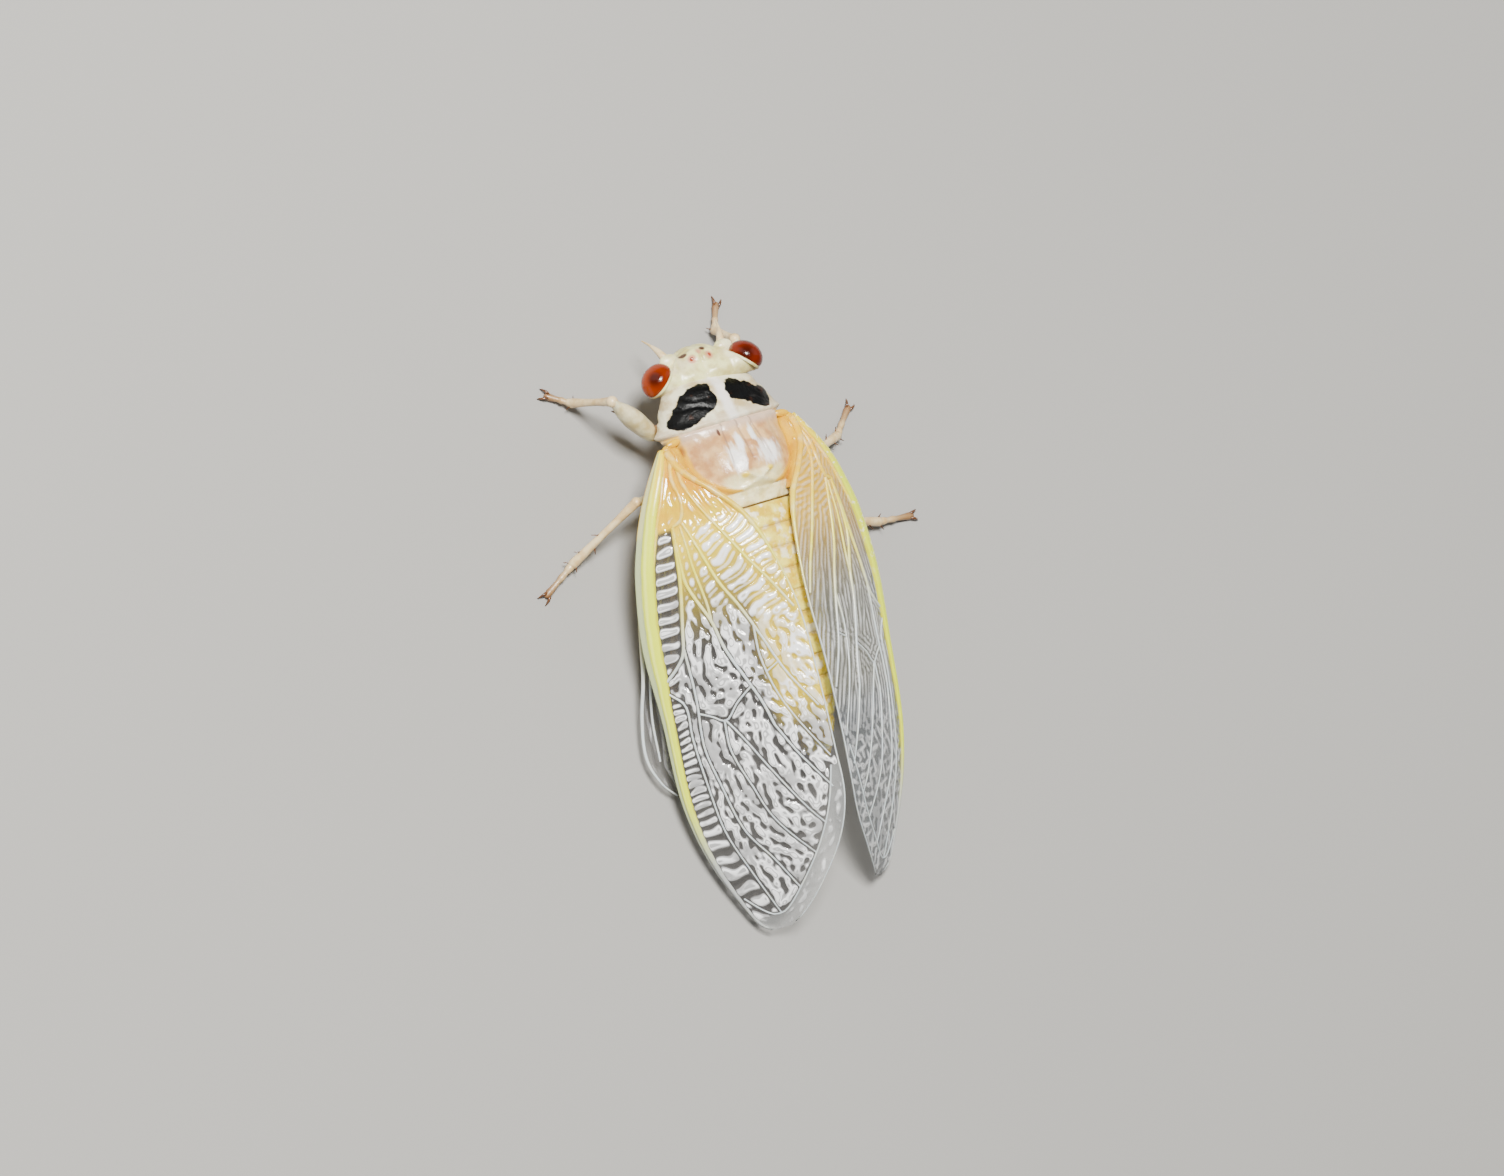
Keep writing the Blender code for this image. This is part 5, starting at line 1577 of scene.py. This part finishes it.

# %% [markdown]
# The dome over the wing muscles is rose and tan on its side lobes, with streaked white patches of painted
# highlight beside its middle furrow. The raised cross behind is cream, with a small yellow glint painted on
# each front arm, and the rear sides run into the orange of the wing hinges.

# %% Dome cuticle: lobes, painted highlights and cross
CREAM, CREAM_SHADE = "#FFF4BE", "#E2CF8C"
DOME_HIGHLIGHTS = (
    ((1.05, 6.15, 8.6), (0.62, 1.15, 1.5)), ((-1.25, 6.25, 8.5), (1.05, 0.95, 1.5)),
    ((0.45, 5.2, 8.3), (0.30, 0.75, 1.5)), ((-0.65, 4.9, 8.2), (0.28, 0.70, 1.5)),
)
paint = Finish("dome_cuticle", **{**WAXY, "Roughness": 0.30, "Coat_Weight": 0.25})
paint.colour = paint.add("mix", paint.patches(0.55, 0.40, 0.62, 4.0), "#DFB47A", "#BE8A56")
paint.over("#D9C3B0", paint.add("fade", paint.back, 4.6, 3.9), 0.7)
drawn = paint.add("scaled", paint.places, (2.4, 0.75, 1.0))
highlight_streaks = paint.add("times", paint.add("noise", drawn, PATCH / 0.30, 5.0), 1.4)
# streaked white patches beside the middle furrow: painted highlights
for centre, radii in DOME_HIGHLIGHTS:
    paint.over("#FFFDF8", paint.oval(centre, radii, 1.85, 1.15, fray=highlight_streaks), 0.92)
behind = paint.add("times", paint.add("fade", paint.back, 6.9, 7.4), paint.add("fade", paint.width, 2.6, 1.7))
paint.over(paint.add("mix", paint.patches(0.55, 0.4, 0.65, 4.0), CREAM, CREAM_SHADE), behind)
# a small yellow glint painted on each front arm of the cross
for centre in ((0.92, 7.28, 8.8), (-0.85, 7.25, 8.8)):
    paint.over("#F2D020", paint.oval(centre, (0.30, 0.22, 0.6), 1.2, 0.4), 0.9)

# %% Dome cuticle: rim, flanks, painted shade in the furrows, and dashes
slanted = paint.add("plus", paint.add("times", paint.width, 0.9), paint.back)
outside, rear = paint.add("fade", paint.width, 3.40, 3.60), paint.add("fade", slanted, 9.75, 10.05)
beyond = paint.add("more", outside, rear)
paint.over("#DDB636", paint.add("times", beyond, paint.add("fade", paint.width, 1.5, 1.9)), 0.85)
at_rim = paint.add("fade", paint.add("stored", attribute_name="rim"), 0.26, 0.08)
rim_line = paint.add("times", at_rim, paint.add("fade", paint.back, 4.3, 4.9))
paint.over("#D6A200", rim_line, 0.95)
flank = paint.add("mix", paint.patches(0.8, 0.38, 0.62), "#DCCDA6", "#C7A878")
flank = paint.add("mix", paint.add("fade", paint.z, 5.2, 6.3), flank, "#E0AE5C")
paint.over(flank, paint.add("fade", paint.z, 6.4, 5.7), 0.95)
# painted shade: grey-brown along the middle and side furrows, fading out towards the rear
beside = paint.add("minus", paint.width, paint.add("plus", paint.add("times", paint.back, 0.13), 0.53))
side_furrow_shade = paint.add("fade", paint.add("unsigned", beside), 0.10, 0.02)
furrow_shade = paint.add("more", side_furrow_shade, paint.add("fade", paint.width, 0.10, 0.02))
ahead = paint.add("times", paint.add("fade", paint.back, 6.9, 6.2), 0.5)
paint.over("#7F6458", paint.add("times", furrow_shade, ahead))
paint.over("#5C3A2C", paint.oval((1.38, 4.28, 7.9), (0.10, 0.24, 1.0), 1.2, 0.7))
for side in (1, -1):
    paint.over("#8A4E2A", paint.oval((side * 3.62, 4.75, 7.0), (0.22, 0.50, 0.9), 1.1, 0.4), 0.75)
paint.done(0.030, 0.10)

# %% [markdown]
# The abdomen's rings are creamy gold, with pale patches of painted glint for a wet look, each a little darker
# at its hidden front edge, where the skin of the joint folds under the ring before it. The last ring of the
# thorax before them is cream, with a thin brown line behind it.

# %% Abdomen cuticle
paint = Finish("abdomen_cuticle", **{**WAXY, "Roughness": 0.26, "Coat_Weight": 0.6})
paint.colour = paint.add("mix", paint.patches(0.40, 0.36, 0.66, 4.0), "#F6E662", "#D8B41C")
# pale near-white patches: painted glints for the rings' wet gloss
paint.over("#FFFBDC", paint.patches(0.45, 0.52, 0.62), 0.75)
paint.over("#E4D8A8", paint.add("fade", paint.z, 6.4, 4.4), 0.6)
line = None
for edge in RING_EDGES[1:-1]:
    near = paint.add("unsigned", paint.add("minus", paint.back, edge + 0.05))
    line = near if line is None else paint.add("less", line, near)
paint.over("#B88A30", paint.add("fade", line, 0.26, 0.02), 0.5)
last_ring = paint.add("mix", paint.patches(0.40, 0.4, 0.65, 4.0), CREAM, CREAM_SHADE)
paint.over(last_ring, paint.add("fade", paint.back, 9.35, 9.15))
joint = paint.add("unsigned", paint.add("minus", paint.back, THORAX_REAR))
paint.over("#6E5226", paint.add("fade", joint, 0.09, 0.03))
paint.done(0.070, 0.16)

# %% [markdown]
# The thighs are cream with orange at the hip joints, and the shins, feet, beak and feelers are the colour
# of weak tea, because thin parts harden and darken first. Claws and spurs are already brown.

# %% Leg cuticles and horn
paint = Finish("thigh_cuticle", **WAXY)
paint.colour = paint.add("mix", paint.patches(0.5, 0.35, 0.7), "#E2DAB4", "#BDAA74")
paint.over("#D9913C", paint.add("fade", paint.width, 4.0, 3.3), 0.75)
paint.done()

paint = Finish("shin_cuticle", **WAXY)
paint.colour = paint.add("mix", paint.patches(0.4, 0.35, 0.7), "#E8D0A0", "#CEAC74")
paint.over("#7E5733", paint.add("fade", paint.z, 1.1, 0.25))
paint.done()

paint = Finish("horn", Roughness=0.3, IOR=1.55, Coat_Weight=0.3)
paint.colour = paint.add("mix", paint.patches(0.2, 0.35, 0.7), "#6B4426", "#3F2616")
paint.done(0.008, 0.05)

# %% [markdown]
# An eye is thousands of tiny polished lenses over deep red pigment, so it has a smooth surface under a
# sharper clear coat. The red turns orange towards the lower rim, and is darkest in a spot of painted shade
# where the sight lines from the camera run straight in. The lenses are about 0.03 mm across on the real eye,
# and are drawn twice as coarse to show.

# %% Eye lenses
LENS = 0.06
paint = Finish("eye_lens", Roughness=0.18, IOR=1.45, Specular_IOR_Level=0.15, Coat_Weight=0.35,
               Coat_Roughness=0.02)
paint.colour = paint.add("mix", paint.add("fade", paint.z, 6.9, 4.8), "#601600", "#A03A00")
paint.over("#8E2A00", paint.patches(0.6, 0.4, 0.7), 0.3)
# a dark spot painted on the side of each eye that faces the camera: painted shade of the pseudopupil
for side in (1, -1):
    straight_in = Vector((math.sin(VIEW_TILT) + side * 0.12, -0.12, math.cos(VIEW_TILT))).normalized()
    centre = at_head(side * EYE_OUT, EYE_BACK, EYE_HEIGHT) + straight_in
    paint.over("#2E0803", paint.oval(centre, (0.60, 0.60, 0.60), 1.2, 0.3), 0.85)
paint.send(paint.colour, "Base Color")
lenses = paint.add("cells", paint.places, 1 / LENS)
paint.send(paint.add("bump", 1.0, 0.008 * MM, lenses), "Normal")

paint = Finish("ocellus_lens", Roughness=0.1, IOR=1.5, Coat_Weight=1.0, Coat_Roughness=0.05)
mottle = paint.add("noise", paint.places, PATCH / 0.15, 3.0)
paint.send(paint.add("mix", mottle, "#7C2410", "#A8452A"), "Base Color")
print("eye finishes made")

# %% [markdown]
# The film is clear, and its puckers catch the light: their crests carry painted glints, silver-white
# squiggles, between troughs painted smoky grey as painted shade. The crest value stored on the film drives
# both the painted glints and how much it hides.
# By the hinge the fresh film is deep orange and nearly opaque, and it clears within a few millimetres.
# The right wing is turned from the lamp, so it is painted a milky grey, darker with painted shade farther
# out, with weaker painted glints: fine pale streaks rather than silver.

# %% Wing films
def film_finish(name, glint_strength, trough_shade):
    """A wing's film, with painted glints on its crests and painted shade in its troughs. The first number
    after the name is how white the painted glints on its crests are, and the second how much the shaded
    troughs hide.
    """
    paint = Finish(name, Roughness=0.09, IOR=1.5, Specular_IOR_Level=0.8)
    crest, cell, puckered = (paint.add("stored", attribute_name=kept)
                             for kept in ("crest", "not_front_cell", "puckered"))
    left = paint.add("fade", paint.x, -0.3, 0.3)

    # the film's colour: painted shade, a smoky grey, in the troughs, gold over the body, orange at the hinge,
    # and on the right milk darkened with painted shade
    over_body = paint.add("fade", paint.x, 3.4, 2.4)
    over_body = paint.add("times", over_body, paint.add("fade", paint.back, 23.5, 21.0))
    gold = paint.add("times", paint.add("more", paint.add("fade", paint.back, 17.0, 10.0), over_body), cell)
    glow = paint.add("mix", paint.patches(0.8, 0.4, 0.6), "#E4A800", "#E8BC00")
    ember = paint.add("times", paint.patches(1.3, 0.50, 0.60), 0.7)
    ember = paint.add("times", ember, paint.add("fade", paint.back, 10.5, 7.5))
    glow = paint.add("mix", ember, glow, "#DC8A00")
    # the right wing's milky colour: golden by the base, then a darker grey that is partly painted shade, as
    # it is turned from the lamp
    milky = paint.add("times", paint.add("minus", 1.0, left), 0.92)
    milk_and_shade = paint.add("mix", paint.add("fade", paint.back, 17.0, 8.0), "#6E7376", "#D6A61C")
    # painted shade: the puckered troughs are smoky grey, and the clear border is light grey
    paint.colour = paint.add("mix", puckered, "#C6C8C7", "#565453")
    paint.over("#F6D838", gold)
    paint.over(glow, paint.add("times", paint.add("fade", paint.back, 11.0, 7.0), cell))
    paint.over(milk_and_shade, milky)

    # painted glints on the crests, each with a greyer hollow in its middle, weaker on the right wing, which
    # is turned from the lamp
    sheen = paint.add("times", paint.add("fade", crest, -0.35, 0.15), 0.50)
    glint = paint.add("times", paint.add("fade", crest, 0.12, 0.50), paint.patches(0.9, 0.26, 0.52))
    hollow = paint.add("times", paint.add("fade", crest, 1.0, 1.25), paint.add("fade", crest, 1.75, 1.5))
    glint = paint.add("times", glint, paint.add("minus", 1.0, paint.add("times", hollow, 0.5)))
    turned = paint.add("plus", paint.add("times", paint.add("fade", paint.back, 11.0, 18.0), 0.34), 0.24)
    strength = paint.add("more", paint.add("times", left, glint_strength), turned)
    bright = paint.add("times", paint.add("more", sheen, glint), strength, use_clamp=True)
    # the painted glints laid over the film's colour
    paint.over("#FFFFFF", bright)
    paint.send(paint.colour, "Base Color")

    # how much it hides
    # the painted shade in the troughs also hides what lies behind them
    shaded_troughs = paint.add("times", paint.add("times", puckered, left), trough_shade)
    thin = paint.add("minus", shaded_troughs, paint.add("times", gold, 0.06))
    alpha = paint.add("plus", paint.add("plus", thin, 0.20), paint.add("times", bright, 0.62))
    at_hinge = paint.add("times", paint.add("fade", paint.back, 14.0, 9.0), cell)
    alpha = paint.add("plus", alpha, paint.add("times", at_hinge, 0.58))
    milk_base = paint.add("times", milky, paint.add("fade", paint.back, 16.0, 8.0))
    alpha = paint.add("plus", alpha, paint.add("times", milk_base, 0.22))
    alpha = paint.add("plus", alpha, paint.add("times", milky, 0.30), use_clamp=True)
    paint.send(alpha, "Alpha")
    fine = paint.add("noise", paint.places, PATCH / 0.12, 3.0)
    paint.send(paint.add("bump", 1.0, 0.012 * MM, fine), "Normal")
    print("film finish:", name, "of", len(paint.material.node_tree.nodes), "nodes")


film_finish("membrane", 1.0, 0.22)
film_finish("hind_membrane", 0.45, 0.0)

# %% [markdown]
# The veins are thicker tubes of the same fresh skin. They are orange-yellow at the hinge, pale yellow-green
# along the wing and whitish at the tip, with a waxy gloss. The front rib keeps its yellow-green longest,
# with a clear grey-white strip along its outer edge.

# %% Vein and hinge finishes
FRESH = {"Roughness": 0.30, "IOR": 1.55, "Subsurface_Weight": 0.08, "Subsurface_Scale": 0.0004,
         "Subsurface_Radius": (1.0, 0.9, 0.4), "Coat_Weight": 0.12, "Coat_Roughness": 0.12}
paint = Finish("vein", **FRESH)
paint.colour = paint.add("mix", paint.add("fade", paint.back, 6.5, 12.0), "#ECB800", "#EADF40")
paint.over("#C9D2D4", paint.add("fade", paint.back, 12.0, 18.5))
paint.over("#F0EBD0", paint.patches(0.35, 0.4, 0.75), 0.35)
paint.done(0.010, 0.10)

paint = Finish("hinge", **FRESH)
paint.colour = paint.add("mix", paint.patches(0.45, 0.36, 0.64), "#E4B000", "#D49A00")
for side in (1, -1):
    paint.over("#D8D0C6", paint.oval((side * 4.75, 5.0, 6.45), (0.40, 0.50, 0.50), 1.1, 0.8))
paint.done(0.03, 0.12)

# %% Front rib finish
paint = Finish("costal_rib", **FRESH)
uneven = paint.add("times", paint.add("minus", paint.add("noise", paint.places, PATCH / 0.5, 3.0), 0.5), 0.3)
across_rib = paint.add("plus", paint.add("stored", attribute_name="across"), uneven)
hem, tip = paint.add("fade", across_rib, 0.25, 0.45), paint.add("fade", paint.back, 25.5, 31.0)
paint.colour = paint.add("mix", paint.add("fade", paint.back, 5.0, 9.0), "#F6D400", "#E2EE1E")
off_middle = paint.add("unsigned", paint.add("plus", across_rib, 0.05))
paint.over("#F6FF7C", paint.add("fade", off_middle, 0.28, 0.0), 0.7)
paint.over("#D6E2A8", hem)
# pale beads on the left wing's front rib near its base: painted glints
rib_glints = paint.add("times", paint.patches(0.22, 0.56, 0.64), paint.add("fade", paint.x, 0.5, -0.5))
paint.over("#FFFFE6", paint.add("times", rib_glints, paint.add("fade", paint.back, 17.0, 12.0)), 0.75)
paint.over("#B8A82A", paint.add("fade", across_rib, -0.75, -0.95), 0.6)
paint.over("#C9CCC8", tip)
alpha = paint.add("minus", 1.0, paint.add("times", hem, 0.35))
alpha = paint.add("minus", alpha, paint.add("times", tip, 0.30))
paint.send(alpha, "Alpha")
paint.done(0.012, 0.12)
